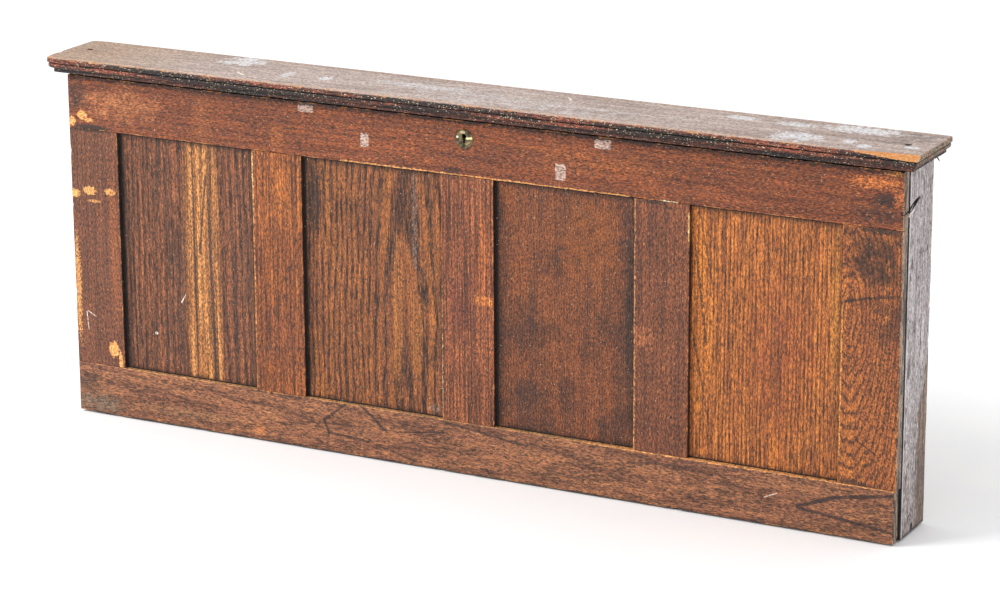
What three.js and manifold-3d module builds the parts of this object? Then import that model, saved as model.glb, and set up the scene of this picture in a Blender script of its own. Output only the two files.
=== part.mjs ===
// Wall-hung oak time-card cabinet with a lockable four-panel drop front.
//
// Millimetres, +Z up. The front faces -Y and +X is to the right as seen from the front.
// The origin is the middle of the whole cabinet's footprint, on the plane it stands on.

import * as THREE from 'three';
import { mergeVertices } from 'three/addons/utils/BufferGeometryUtils.js';
import Module from 'manifold-3d';

const wasm = await Module();
wasm.setup();

// ---------------------------------------------------------------- driving dimensions

// Door
const doorWidth = 1016;
const doorHeight = 401;
const doorThickness = 13.5;
const topRailHeight = 62;
const bottomRailHeight = 59;
const bottomRailShort = 2;             // the bottom rail's right end is worn back by this much
const stileWidthLeft = 64;
const stileWidthRight = 66;
const muntinWidth = 64;
const openingTrim = [5, 2, -5.5, -1.5];  // how far each panel opening is from an equal share
const panelRecess = 5.2;               // from the door's face back to a panel's face
const grooveWidth = 4.8;
const grooveDepth = 6;
const tenonHaunch = 12;                // outer shoulder of a stile's stub tenon

// Case
const caseDepth = 68;
const sideThickness = 14;
const bottomThickness = 16;
const backThickness = 8;
const doorGap = 2.2;                   // between the door's back and the case's front edges
const headGap = 4.2;                   // between the door's top edge and the top board

// Top board
const topThickness = 17.3;
const topOverhangFront = 18;           // past the door's face
const topOverhangEnd = 19.8;           // past each side

// Card rack
const bayCount = 10;
const dividerThickness = 6;
const rackSetback = 8;                 // from the case's front edges back to the rack

// Lock, measured from the door's centre line and top edge
const lockOffset = 3.6;
const keyholeDrop = 20.5;              // from the door's top edge down to the escutcheon's centre
const lockWidth = 38;
const lockHeight = 32;
const lockWall = 1;
const lockFrontSkin = 4.5;             // timber left between the lock and the door's face
const lockPlate = 1.2;                 // thickness of the cap, selvedge and strike
const boltWidth = 16;
const boltThickness = 3.6;
const boltTravel = 9;
const escutcheonRadius = 10.8;
const escutcheonThickness = 1.2;
const escutcheonProud = 0.5;
const keyholeRadius = 2.7;
const keyholeSlot = 2.6;               // width of the keyhole's slot
const keyholeRise = 3.3;               // from the escutcheon's centre up to the round's centre
const keyholeFall = 4.4;               // from the escutcheon's centre down to the slot's end

// Hinges
const hingeLength = 50;
const hingeInset = 150;                // from the door's end to the middle of an outer hinge
const barrelRadius = 2.6;
const pinRadius = 1.2;
const barrelGround = 0.8;              // from the cabinet's foot up to the barrel
const knuckleGap = 0.2;
const screwShank = 1.2;
const screwHead = 2.6;
const screwLength = 8;
const screwSpread = 30;                // between the two screws of a leaf

// Screws through the top board into the sides
const topScrewHead = 4;
const topScrewShank = 2;
const topScrewLength = 40;
const topScrewSink = 1.5;              // depth of the head below the top surface
const topScrewSetback = 13.4;          // right-hand screw behind the case front edges
const topScrewStagger = 11.5;          // how much further back the left-hand one stands

// Clearances
const glueLine = 0.15;                 // between glued or nailed boards
const panelPlay = 0.2;                 // each side of a panel or a stub tenon in its groove
const slideFit = 0.3;                  // round pieces that slide or are let in
const pinFit = 0.09;                   // between a hinge pin and its knuckles

// ---------------------------------------------------------------- derived places

const doorLeft = -doorWidth / 2;
const doorRight = doorWidth / 2;
const totalDepth = topOverhangFront + doorThickness + doorGap + caseDepth;
const rearY = totalDepth / 2;
const topFrontY = -totalDepth / 2;
const doorFrontY = topFrontY + topOverhangFront;
const doorBackY = doorFrontY + doorThickness;
const caseFrontY = doorBackY + doorGap;
const backFrontY = rearY - backThickness;
const headZ = doorHeight + headGap;
const topZ = headZ + topThickness;
const innerLeft = doorLeft + sideThickness;
const innerRight = doorRight - sideThickness;

const bottomRailTop = bottomRailHeight;
const topRailBottom = doorHeight - topRailHeight;
const panelFrontY = doorFrontY + panelRecess;
const grooveFrontY = panelFrontY - panelPlay;
const grooveBackY = grooveFrontY + grooveWidth;

const hingeY = doorBackY + doorGap / 2;
const hingeZ = barrelGround + barrelRadius;
const leafGap = 0.2;                   // between the closed leaves
const leafSeat = 0.1;                  // between a leaf and its board
const leafThickness = (doorGap - leafGap) / 2 - leafSeat;
const leafFoot = barrelRadius + slideFit;       // up from the hinge line to a leaf's plain plate
const leafReach = bottomThickness - hingeZ - 1; // up from the hinge line to a leaf's top edge
const barrelClearance = 0.6;
const footBevel = Math.SQRT2 * (barrelRadius + barrelClearance) + hingeZ - doorGap / 2;

const lockX = lockOffset;
const keyholeZ = doorHeight - keyholeDrop;
const lockFrontY = doorFrontY + lockFrontSkin;
const lockBottomZ = doorHeight - lockPlate - slideFit - lockHeight;
const lockTopZ = doorHeight - lockPlate - slideFit;
const lockLeftX = lockX - lockWidth / 2;
const lockRightX = lockX + lockWidth / 2;
const boltY = (lockFrontY + doorBackY) / 2;
const boltFootZ = keyholeZ + keyholeRise + keyholeRadius + 0.9;

const hingeCentres = [doorLeft + hingeInset, 0, doorRight - hingeInset];
const hingeNames = ['left', 'middle', 'right'];
const topScrewY = caseFrontY + topScrewSetback;

// ---------------------------------------------------------------- finishes

function finish(colour, roughness, metalness) {
  return new THREE.MeshStandardMaterial({ color: colour, roughness, metalness });
}

const frameOak = finish(0x6e3d22, 0.55, 0);
const panelOakDark = finish(0x5c3520, 0.55, 0);
const panelOakBrown = finish(0x74451f, 0.5, 0);
const panelOakRed = finish(0x5f361f, 0.55, 0);
const panelOakGold = finish(0x9a5f26, 0.5, 0);
const corniceOak = finish(0x3f2920, 0.6, 0);
const caseOak = finish(0x5b4a3f, 0.7, 0);
const backPine = finish(0x8a6b47, 0.8, 0);
const rackPine = finish(0xa67c4c, 0.7, 0);
const agedBrass = finish(0x6b5a35, 0.45, 0.9);
const lockSteel = finish(0x4d4a46, 0.5, 0.9);
const darkSteel = finish(0x2d2a28, 0.6, 0.8);

// ---------------------------------------------------------------- solids and cuts

/** Turns a closed three.js geometry into a manifold solid. */
function toSolid(geometry) {
  const bare = geometry.clone();
  bare.deleteAttribute('normal');
  bare.deleteAttribute('uv');
  const merged = mergeVertices(bare, 1e-4);
  return new wasm.Manifold(new wasm.Mesh({
    numProp: 3,
    vertProperties: new Float32Array(merged.attributes.position.array),
    triVerts: new Uint32Array(merged.index.array),
  }));
}

/** Turns a manifold solid back into a three.js geometry. */
function toGeometry(solid) {
  const mesh = solid.getMesh();
  const geometry = new THREE.BufferGeometry();
  geometry.setAttribute('position', new THREE.BufferAttribute(mesh.vertProperties, 3));
  geometry.setIndex(new THREE.BufferAttribute(mesh.triVerts, 1));
  geometry.computeVertexNormals();
  return geometry;
}

/** Takes each cutter out of a geometry. */
function cut(geometry, cutters) {
  let solid = toSolid(geometry);
  for (const cutter of cutters) solid = solid.subtract(toSolid(cutter));
  return toGeometry(solid);
}

/** Joins overlapping geometries into one body. */
function join(geometries) {
  let solid = toSolid(geometries[0]);
  for (const geometry of geometries.slice(1)) solid = solid.add(toSolid(geometry));
  return toGeometry(solid);
}

/** A straight board between two corners. */
function box(x0, x1, y0, y1, z0, z1) {
  const geometry = new THREE.BoxGeometry(x1 - x0, y1 - y0, z1 - z0);
  return geometry.translate((x0 + x1) / 2, (y0 + y1) / 2, (z0 + z1) / 2);
}

/** A YZ outline carried along X. */
function prismX(outline, x0, x1, segments = 8) {
  const options = { depth: x1 - x0, bevelEnabled: false, curveSegments: segments };
  const geometry = new THREE.ExtrudeGeometry(outline, options);
  return geometry.rotateX(Math.PI / 2).rotateZ(Math.PI / 2).translate(x0, 0, 0);
}

/** An XZ outline carried along Y. */
function prismY(outline, y0, y1, segments = 8) {
  const options = { depth: y1 - y0, bevelEnabled: false, curveSegments: segments };
  const geometry = new THREE.ExtrudeGeometry(outline, options);
  return geometry.rotateX(Math.PI / 2).translate(0, y1, 0);
}

/** A polygon outline from corner pairs. */
function polygon(points) {
  return new THREE.Shape(points.map(([a, b]) => new THREE.Vector2(a, b)));
}

/** A round rod along X. */
function rodX(radius, x0, x1, y, z, sides = 24) {
  const geometry = new THREE.CylinderGeometry(radius, radius, x1 - x0, sides);
  return geometry.rotateZ(Math.PI / 2).translate((x0 + x1) / 2, y, z);
}

/** A round rod along Y. */
function rodY(radius, y0, y1, x, z, sides = 24) {
  const geometry = new THREE.CylinderGeometry(radius, radius, y1 - y0, sides);
  return geometry.translate(x, (y0 + y1) / 2, z);
}

/** A countersunk screw pointing down the -Y axis from y = 0; play fattens it into a pilot hole. */
function screwBlank(head, shank, length, headDepth, play = 0) {
  const tip = shank * 1.5;
  const profile = [
    new THREE.Vector2(0, -length - play),
    new THREE.Vector2(shank * 0.3 + play, -length - play),
    new THREE.Vector2(shank + play, -length + tip),
    new THREE.Vector2(shank + play, -headDepth - play),
    new THREE.Vector2(head + play, -play),
    new THREE.Vector2(head + play, play * 4),
    new THREE.Vector2(0, play * 4),
  ];
  const outline = play > 0 ? profile : [...profile.slice(0, 5), profile[6]];
  return new THREE.LatheGeometry(outline, 12);
}

const cabinet = new THREE.Group();

/** Adds one named piece to the cabinet. */
function piece(name, geometry, material) {
  const mesh = new THREE.Mesh(geometry, material);
  mesh.name = name;
  cabinet.add(mesh);
}

/** Keyhole outline: a round with a straight slot hanging from it, grown by a margin. */
function keyholeOutline(margin = 0) {
  const radius = keyholeRadius + margin;
  const half = keyholeSlot / 2 + margin;
  const roundZ = keyholeZ + keyholeRise;
  const footZ = keyholeZ - keyholeFall - margin;
  const spread = Math.asin(half / radius);
  const outline = new THREE.Shape();
  outline.moveTo(lockX - half, footZ);
  outline.lineTo(lockX - half, roundZ - radius * Math.cos(spread));
  outline.absarc(lockX, roundZ, radius, -Math.PI / 2 - spread, -Math.PI / 2 + spread, true);
  outline.lineTo(lockX + half, footZ);
  outline.closePath();
  return outline;
}

// ---------------------------------------------------------------- screws of the hinge leaves

const hingeScrewZ = hingeZ + (leafFoot + leafReach) / 2;

/** The two screws of a leaf: side -1 goes into the door, +1 into the case. */
function leafScrews(centreX, side, play = 0) {
  const faceY = hingeY + side * (leafGap / 2);
  return [-1, 1].map((end) => {
    const screw = screwBlank(screwHead, screwShank, screwLength, leafThickness + leafSeat, play);
    if (side > 0) screw.rotateZ(Math.PI);
    return screw.translate(centreX + end * screwSpread / 2, faceY, hingeScrewZ);
  });
}

const doorPilots = hingeCentres.flatMap((x) => leafScrews(x, -1, slideFit / 2));
const casePilots = hingeCentres.flatMap((x) => leafScrews(x, 1, slideFit / 2));

// ---------------------------------------------------------------- screws of the top board

const topScrewXs = [doorLeft + sideThickness * 0.4, doorRight - sideThickness * 0.6];
const topScrewYs = [topScrewY + topScrewStagger, topScrewY];

function topScrews(play = 0) {
  return topScrewXs.map((x, index) => {
    const screw = screwBlank(topScrewHead, topScrewShank, topScrewLength, 3, play);
    return screw.rotateX(Math.PI / 2).translate(x, topScrewYs[index], topZ - topScrewSink);
  });
}

const topPilots = topScrews(slideFit / 2);
const topPlugHoles = topScrewXs.map((x, index) => {
  const hole = rodX(topScrewHead + slideFit / 2, 0, topScrewSink * 2, 0, 0, 12);
  return hole.rotateY(-Math.PI / 2).translate(x, topScrewYs[index], topZ - topScrewSink);
});

// ---------------------------------------------------------------- case

function makeSides() {
  const left = box(doorLeft, innerLeft, caseFrontY, rearY, 0, headZ - glueLine);
  const right = box(innerRight, doorRight, caseFrontY, rearY, 0, headZ - glueLine);
  piece('case_side_left', cut(left, [topPilots[0]]), caseOak);
  piece('case_side_right', cut(right, [topPilots[1]]), caseOak);
}

/** Bottom board, its lower front edge bevelled to make room for the hinge barrels. */
function makeBottom() {
  const backY = backFrontY - glueLine;
  const outline = polygon([
    [caseFrontY + footBevel, 0],
    [backY, 0],
    [backY, bottomThickness],
    [caseFrontY, bottomThickness],
    [caseFrontY, footBevel],
  ]);
  const board = prismX(outline, innerLeft + glueLine, innerRight - glueLine);
  piece('case_bottom', cut(board, casePilots), caseOak);
}

function makeBack() {
  const seam = headZ / 2;
  const left = innerLeft + glueLine;
  const right = innerRight - glueLine;
  piece('case_back_lower', box(left, right, backFrontY, rearY, 0, seam - glueLine), backPine);
  const upper = box(left, right, backFrontY, rearY, seam + glueLine, headZ - glueLine);
  piece('case_back_upper', upper, backPine);
}

/**
 * Right-hand moulded edge of the top board as an outline, in depth below the top surface and
 * inset from the edge: a nosing with eased arrises, a quirk, an ovolo bead and a fillet.
 */
function mouldedEdge(outline, edge, inward) {
  const at = (inset) => edge + inward * inset;
  const below = (depth) => topZ - depth * topThickness / 17.3;
  outline.lineTo(at(1.2), below(0));
  outline.quadraticCurveTo(at(0), below(0), at(0), below(1.4));
  outline.lineTo(at(0), below(4.6));
  outline.quadraticCurveTo(at(0), below(5.8), at(1.4), below(5.8));
  outline.lineTo(at(3.2), below(6.4));
  outline.quadraticCurveTo(at(1.4), below(6.8), at(1.4), below(8.6));
  outline.quadraticCurveTo(at(1.6), below(12), at(5.2), below(12.6));
  outline.lineTo(at(6.6), below(13));
  outline.lineTo(at(6.6), below(17.3));
}

function makeTop() {
  const endX = doorRight + topOverhangEnd;
  const frontOutline = new THREE.Shape();
  frontOutline.moveTo(rearY, topZ);
  mouldedEdge(frontOutline, topFrontY, 1);
  frontOutline.lineTo(rearY, headZ);
  frontOutline.closePath();
  const frontSolid = toSolid(prismX(frontOutline, -endX - 1, endX + 1, 4));

  const endOutline = new THREE.Shape();
  endOutline.moveTo(0, topZ);
  mouldedEdge(endOutline, endX, -1);
  endOutline.lineTo(0, headZ);
  endOutline.closePath();
  const rightSolid = toSolid(prismY(endOutline, topFrontY - 1, rearY + 1, 4));
  const mirrored = new THREE.Shape();
  mirrored.moveTo(0, topZ);
  mouldedEdge(mirrored, -endX, 1);
  mirrored.lineTo(0, headZ);
  mirrored.closePath();
  const leftSolid = toSolid(prismY(mirrored, topFrontY - 1, rearY + 1, 4));

  const board = toGeometry(frontSolid.intersect(rightSolid.add(leftSolid)));
  const strikeSeat = strikeBox(slideFit);
  const boltMortise = box(
    lockX - boltWidth / 2 - 1, lockX + boltWidth / 2 + 1,
    boltY - boltThickness / 2 - 1, boltY + boltThickness / 2 + 1,
    headZ - 1, doorHeight + boltTravel + 2,
  );
  piece('case_top', cut(board, [...topPilots, ...topPlugHoles, strikeSeat, boltMortise]), corniceOak);

  for (const [index, screw] of topScrews().entries()) {
    piece(`top_screw_${index === 0 ? 'left' : 'right'}`, screw, darkSteel);
  }
}

// ---------------------------------------------------------------- card rack

const rackFrontY = caseFrontY + rackSetback;
const rackBackY = backFrontY - glueLine;
const rackMiddleY = (rackFrontY + rackBackY) / 2;
const shelfZ = (bottomThickness + headZ - dividerThickness) / 2;
const bayWidth = (innerRight - innerLeft - (bayCount - 1) * dividerThickness) / bayCount;
const dividerXs = Array.from({ length: bayCount - 1 }, (_, index) =>
  innerLeft + (index + 1) * bayWidth + index * dividerThickness);

/** Upright dividers, halved over the shelf from their front edges. */
function makeDividers() {
  for (const [index, x] of dividerXs.entries()) {
    const board = box(x, x + dividerThickness, rackFrontY, rackBackY,
      bottomThickness + glueLine, headZ - glueLine);
    const halving = box(x - 1, x + dividerThickness + 1, rackFrontY - 1, rackMiddleY + panelPlay,
      shelfZ - panelPlay, shelfZ + dividerThickness + panelPlay);
    piece(`rack_divider_${index + 1}`, cut(board, [halving]), rackPine);
  }
}

/** Middle shelf, halved over the dividers from its rear edge. */
function makeShelf() {
  const shelf = box(innerLeft + glueLine, innerRight - glueLine, rackFrontY, rackBackY,
    shelfZ, shelfZ + dividerThickness);
  const halvings = dividerXs.map((x) => box(x - panelPlay, x + dividerThickness + panelPlay,
    rackMiddleY - panelPlay, rackBackY + 1, shelfZ - 1, shelfZ + dividerThickness + 1));
  piece('rack_shelf', cut(shelf, halvings), rackPine);
}

// ---------------------------------------------------------------- door frame and panels

const clearWidth = doorWidth - stileWidthLeft - stileWidthRight - 3 * muntinWidth;
const openings = openingTrim.map((trim) => clearWidth / 4 + trim);
const grooveStart = doorLeft + tenonHaunch;
const grooveEnd = doorRight - tenonHaunch - bottomRailShort;

/** Rail along the top: groove below, lock mortise behind and keyhole through it. */
function makeTopRail() {
  const rail = box(doorLeft, doorRight, doorFrontY, doorBackY, topRailBottom, doorHeight);
  const groove = box(grooveStart, doorRight - tenonHaunch, grooveFrontY, grooveBackY,
    topRailBottom - 1, topRailBottom + grooveDepth);
  const mortise = box(lockLeftX - slideFit, lockRightX + slideFit, lockFrontY - slideFit,
    doorBackY + 1, lockBottomZ - slideFit, doorHeight + 1);
  const selvedgeSeat = box(lockLeftX - 3 - slideFit, lockRightX + 3 + slideFit,
    lockFrontY - slideFit, doorBackY + 1, doorHeight - lockPlate - slideFit, doorHeight + 1);
  const plateSeat = rodY(escutcheonRadius + slideFit / 2, doorFrontY - 1,
    doorFrontY + escutcheonThickness - escutcheonProud, lockX, keyholeZ, 48);
  const keyway = prismY(keyholeOutline(), doorFrontY - 1, lockFrontY + 1);
  const rail_ = cut(rail, [groove, mortise, selvedgeSeat, plateSeat, keyway]);
  piece('door_rail_top', rail_, frameOak);
}

/** Rail along the bottom: groove above, bevelled foot behind for the hinge barrels. */
function makeBottomRail() {
  const outline = polygon([
    [doorFrontY, 0],
    [doorBackY - footBevel, 0],
    [doorBackY, footBevel],
    [doorBackY, bottomRailTop],
    [doorFrontY, bottomRailTop],
  ]);
  const rail = prismX(outline, doorLeft, doorRight - bottomRailShort);
  const groove = box(grooveStart, grooveEnd, grooveFrontY, grooveBackY,
    bottomRailTop - grooveDepth, bottomRailTop + 1);
  piece('door_rail_bottom', cut(rail, [groove, ...doorPilots]), frameOak);
}

/** An upright of the door with stub tenons in the rails' grooves and grooves for the panels. */
function upright(name, x0, x1, grooveLeft, grooveRight) {
  const tenonLeft = grooveLeft ? x0 + grooveDepth + panelPlay : x0 + tenonHaunch + panelPlay;
  const shoulder = x1 - tenonHaunch - bottomRailShort - panelPlay;
  const tenonRight = grooveRight ? x1 - grooveDepth - panelPlay : shoulder;
  const tenon = box(tenonLeft, tenonRight, grooveFrontY + panelPlay, grooveBackY - panelPlay,
    bottomRailTop - grooveDepth + panelPlay, topRailBottom + grooveDepth - panelPlay);
  const body = box(x0, x1, doorFrontY, doorBackY, bottomRailTop + glueLine,
    topRailBottom - glueLine);
  const grooves = [];
  const low = bottomRailTop - 1;
  const high = topRailBottom + 1;
  if (grooveLeft) {
    grooves.push(box(x0 - 1, x0 + grooveDepth, grooveFrontY, grooveBackY, low, high));
  }
  if (grooveRight) {
    grooves.push(box(x1 - grooveDepth, x1 + 1, grooveFrontY, grooveBackY, low, high));
  }
  piece(name, cut(join([body, tenon]), grooves), frameOak);
}

/** Lays the uprights and panels out from left to right. */
function makeUprightsAndPanels() {
  const panelFinishes = [panelOakDark, panelOakBrown, panelOakRed, panelOakGold];
  const tuck = grooveDepth - 0.8;      // how far a panel reaches into its grooves
  upright('door_stile_left', doorLeft, doorLeft + stileWidthLeft, false, true);
  let x = doorLeft + stileWidthLeft;
  for (const [index, width] of openings.entries()) {
    const panel = box(x - tuck, x + width + tuck, panelFrontY,
      panelFrontY + grooveWidth - 2 * panelPlay, bottomRailTop - tuck, topRailBottom + tuck);
    piece(`door_panel_${index + 1}`, panel, panelFinishes[index]);
    x += width;
    if (index < openings.length - 1) {
      upright(`door_muntin_${index + 1}`, x, x + muntinWidth, true, true);
      x += muntinWidth;
    }
  }
  upright('door_stile_right', x, doorRight, true, false);
}

// ---------------------------------------------------------------- lock

/** Strike plate's place in the top board's underside, grown by a margin. */
function strikeBox(margin = 0) {
  return box(lockX - 22 - margin, lockX + 22 + margin, boltY - 6 - margin, boltY + 6 + margin,
    headZ - margin, headZ + lockPlate + margin);
}

function makeStrike() {
  const slot = box(lockX - boltWidth / 2 - slideFit, lockX + boltWidth / 2 + slideFit,
    boltY - boltThickness / 2 - slideFit, boltY + boltThickness / 2 + slideFit,
    headZ - 1, headZ + lockPlate + 1);
  piece('lock_strike', cut(strikeBox(), [slot]), agedBrass);
}

function makeEscutcheon() {
  const backY = doorFrontY + escutcheonThickness - escutcheonProud - 0.1;
  const disc = rodY(escutcheonRadius, doorFrontY - escutcheonProud, backY, lockX, keyholeZ, 48);
  const eased = keyholeOutline(-0.15);
  piece('lock_escutcheon', cut(disc, [prismY(eased, doorFrontY - 2, backY + 1)]), agedBrass);
}

/** Folded lock case, open behind, with the keyhole in its front wall and the bolt's slot above. */
function makeLockCase() {
  const shell = box(lockLeftX, lockRightX, lockFrontY, doorBackY - slideFit,
    lockBottomZ, lockTopZ - 0.1);
  const hollow = box(lockLeftX + lockWall, lockRightX - lockWall, lockFrontY + lockWall,
    doorBackY + 1, lockBottomZ + lockWall, lockTopZ - 0.1 - lockWall);
  const keyway = prismY(keyholeOutline(0.2), lockFrontY - 1, lockFrontY + lockWall + 1);
  piece('lock_case', cut(shell, [hollow, keyway, boltSlot()]), lockSteel);
}

/** Cutter for the bolt's way out through the lock case and the selvedge. */
function boltSlot() {
  return box(lockX - boltWidth / 2 - slideFit, lockX + boltWidth / 2 + slideFit,
    boltY - boltThickness / 2 - slideFit, boltY + boltThickness / 2 + slideFit,
    lockTopZ - 3, doorHeight + 1);
}

/** Cap over the back of the lock, turned over the door's top edge as its selvedge. */
function makeLockCap() {
  const frontY = doorBackY + 0.1;
  const cap = box(lockLeftX - 3, lockRightX + 3, frontY, frontY + lockPlate,
    lockBottomZ - 3, doorHeight - 0.2);
  const selvedge = box(lockLeftX - 3, lockRightX + 3, lockFrontY, frontY + lockPlate,
    doorHeight - 0.2 - lockPlate, doorHeight - 0.2);
  piece('lock_cap', cut(join([cap, selvedge]), [boltSlot()]), agedBrass);
}

/** Drill pin that the hollow key slides over. */
function makeDrillPin() {
  const pin = rodY(1.1, lockFrontY + lockWall + 0.5, doorBackY - 0.1, lockX,
    keyholeZ + keyholeRise, 16);
  piece('lock_drill_pin', pin, lockSteel);
}

/** Bolt: a stout head in the selvedge's slot and a wider tail that the key lifts. */
function makeBolt() {
  const half = boltThickness / 2;
  const shoulderZ = lockTopZ - lockWall - boltTravel - 0.6;
  const head = box(lockX - boltWidth / 2, lockX + boltWidth / 2, boltY - half, boltY + half,
    shoulderZ - 1, doorHeight - 0.4);
  const tailHalf = lockWidth / 2 - lockWall - 4;
  const tail = box(lockX - tailHalf, lockX + tailHalf, boltY - half, boltY + half,
    boltFootZ, shoulderZ);
  piece('lock_bolt', join([head, tail]), lockSteel);
}

/** Bowed leaf spring beside the bolt's tail, one of its ends in the case's corner. */
function makeBoltSpring() {
  const x = lockRightX - lockWall - 0.4;
  const outline = new THREE.Shape();
  outline.moveTo(x, boltFootZ - 4);
  outline.quadraticCurveTo(x - 4, boltFootZ + 2, x, boltFootZ + 8);
  outline.lineTo(x - 0.5, boltFootZ + 8);
  outline.quadraticCurveTo(x - 4.5, boltFootZ + 2, x - 0.5, boltFootZ - 4);
  outline.closePath();
  piece('lock_spring', prismY(outline, boltY - 1, boltY + 1, 10), lockSteel);
}

// ---------------------------------------------------------------- hinges

/** One leaf: a plate on its board and the knuckles that it owns, bored for the pin. */
function leaf(centreX, side, knuckles) {
  const nearY = hingeY + side * (leafGap / 2);
  const farY = nearY + side * leafThickness;
  const y0 = Math.min(nearY, farY);
  const y1 = Math.max(nearY, farY);
  const start = centreX - hingeLength / 2;
  const parts = [box(start, start + hingeLength, y0, y1, hingeZ + leafFoot, hingeZ + leafReach)];
  for (const [from, to] of knuckles) {
    parts.push(rodX(barrelRadius, start + from, start + to, hingeY, hingeZ));
    parts.push(box(start + from, start + to, y0, y1, hingeZ + pinRadius + 0.5,
      hingeZ + leafFoot + 1));
  }
  const bore = rodX(pinRadius + pinFit, start - 1, start + hingeLength + 1, hingeY, hingeZ);
  return cut(join(parts), [bore, ...leafScrews(centreX, side, slideFit / 2)]);
}

function makeHinges() {
  const third = hingeLength / 3;
  const outer = [[0, third - knuckleGap], [2 * third + knuckleGap, hingeLength]];
  const middle = [[third, 2 * third]];
  for (const [index, centreX] of hingeCentres.entries()) {
    const name = `hinge_${hingeNames[index]}`;
    piece(`${name}_case_leaf`, leaf(centreX, 1, outer), agedBrass);
    piece(`${name}_door_leaf`, leaf(centreX, -1, middle), agedBrass);
    const half = hingeLength / 2;
    const stem = rodX(pinRadius, centreX - half - 0.6, centreX + half + 0.6, hingeY, hingeZ);
    const ends = [-1, 1].map((end) => rodX(barrelRadius * 0.8, centreX + end * (half + 0.8) - 0.5,
      centreX + end * (half + 0.8) + 0.5, hingeY, hingeZ));
    piece(`${name}_pin`, join([stem, ...ends]), agedBrass);
    for (const [end, screw] of leafScrews(centreX, 1).entries()) {
      piece(`${name}_case_screw_${end + 1}`, screw, agedBrass);
    }
    for (const [end, screw] of leafScrews(centreX, -1).entries()) {
      piece(`${name}_door_screw_${end + 1}`, screw, agedBrass);
    }
  }
}

// ---------------------------------------------------------------- assembly

makeSides();
makeBottom();
makeBack();
makeTop();
makeDividers();
makeShelf();
makeTopRail();
makeBottomRail();
makeUprightsAndPanels();
makeEscutcheon();
makeLockCase();
makeLockCap();
makeDrillPin();
makeBolt();
makeBoltSpring();
makeStrike();
makeHinges();

export default cabinet;
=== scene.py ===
"""Looks of a wall-hung oak time-card cabinet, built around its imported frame.

Lengths are in metres in the frame's own axes: the front faces -Y, +X is to the right as seen
from the front and +Z is up. Patterns inside the materials are worked out in millimetres.
"""

import math

import bpy
import numpy as np
from mathutils import Matrix, Vector


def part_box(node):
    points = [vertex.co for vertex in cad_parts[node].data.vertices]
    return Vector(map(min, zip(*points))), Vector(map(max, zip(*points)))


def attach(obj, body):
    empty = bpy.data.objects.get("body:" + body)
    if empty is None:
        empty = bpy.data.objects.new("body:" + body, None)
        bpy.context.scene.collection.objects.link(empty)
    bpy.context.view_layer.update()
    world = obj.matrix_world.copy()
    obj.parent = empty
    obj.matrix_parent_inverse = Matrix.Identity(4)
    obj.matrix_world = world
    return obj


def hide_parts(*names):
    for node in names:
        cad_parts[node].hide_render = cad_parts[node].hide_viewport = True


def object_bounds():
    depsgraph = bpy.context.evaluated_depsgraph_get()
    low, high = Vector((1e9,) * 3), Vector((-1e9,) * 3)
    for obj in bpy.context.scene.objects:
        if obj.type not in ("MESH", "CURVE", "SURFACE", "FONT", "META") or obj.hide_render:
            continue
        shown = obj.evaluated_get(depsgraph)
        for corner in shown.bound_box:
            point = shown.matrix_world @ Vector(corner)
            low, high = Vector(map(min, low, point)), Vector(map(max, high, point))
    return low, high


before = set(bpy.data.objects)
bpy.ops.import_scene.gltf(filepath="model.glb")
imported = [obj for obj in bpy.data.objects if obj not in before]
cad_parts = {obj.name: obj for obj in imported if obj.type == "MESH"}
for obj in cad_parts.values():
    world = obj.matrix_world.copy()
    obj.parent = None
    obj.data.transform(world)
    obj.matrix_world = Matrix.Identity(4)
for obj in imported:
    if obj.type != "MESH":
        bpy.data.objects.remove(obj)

bl_info = {
    "name": "Time-card cabinet",
    "version": (1, 0, 0),
    "blender": (4, 5, 0),
    "location": "View3D > Sidebar > Cabinet",
    "description": "Builds the boards, hardware and finishes of an oak time-card cabinet",
    "category": "Object",
}

MM = 0.001
CAD_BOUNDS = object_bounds()

# ------------------------------------------------------------------ places taken from the frame

CASE_LOW, CASE_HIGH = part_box("case_top")
DOOR_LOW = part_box("door_rail_bottom")[0]
DOOR_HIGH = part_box("door_rail_top")[1]
SIDE_LOW, SIDE_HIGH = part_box("case_side_right")
PLATE_LOW, PLATE_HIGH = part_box("lock_escutcheon")
RAIL_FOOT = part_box("door_rail_top")[0].z
SILL_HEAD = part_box("door_rail_bottom")[1].z

GOUGE_MM = 355.6  # height of the gouge that runs across the right side's front edge


# ------------------------------------------------------------------ settings

def tone(code):
    """Linear colour with alpha from a six-digit hex code."""
    steps = [int(code[i:i + 2], 16) / 255 for i in (0, 2, 4)]
    return tuple(c / 12.92 if c <= 0.04045 else ((c + 0.055) / 1.055) ** 2.4 for c in steps) + (1,)


def length(name, description, default):
    """A property for a length in metres."""
    return bpy.props.FloatProperty(
        name=name, description=description, default=default, min=0, precision=5,
        unit="LENGTH", subtype="DISTANCE")


def colour(name, description, code):
    """A property for a colour, its default given as a hex code."""
    return bpy.props.FloatVectorProperty(
        name=name, description=description, default=tone(code), size=4, min=0, max=1,
        subtype="COLOR")


class CabinetShape(bpy.types.PropertyGroup):
    """Sizes of the worn edges and of the surface grids."""

    arris: length("Arris", "Radius of a worn board edge", 0.9 * MM)
    panel_arris: length("Panel arris", "Radius of a panel's edge", 0.4 * MM)
    edge_wear: length("Edge wear", "Depth that the edges have rubbed down to", 0.35 * MM)
    nick_depth: length("Nick depth", "Depth of the larger nicks in the edges", 1.1 * MM)
    grid_step: length("Grid step", "Spacing of the rings along a board", 3.2 * MM)
    face_step: length("Face step", "Spacing of the grid across a board", 5 * MM)
    split_length: length("Broken edge", "Length of the nosing that has split off", 76 * MM)
    gouge_width: length("Gouge width", "Width of the slot prised in the right side", 2.6 * MM)


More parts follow.
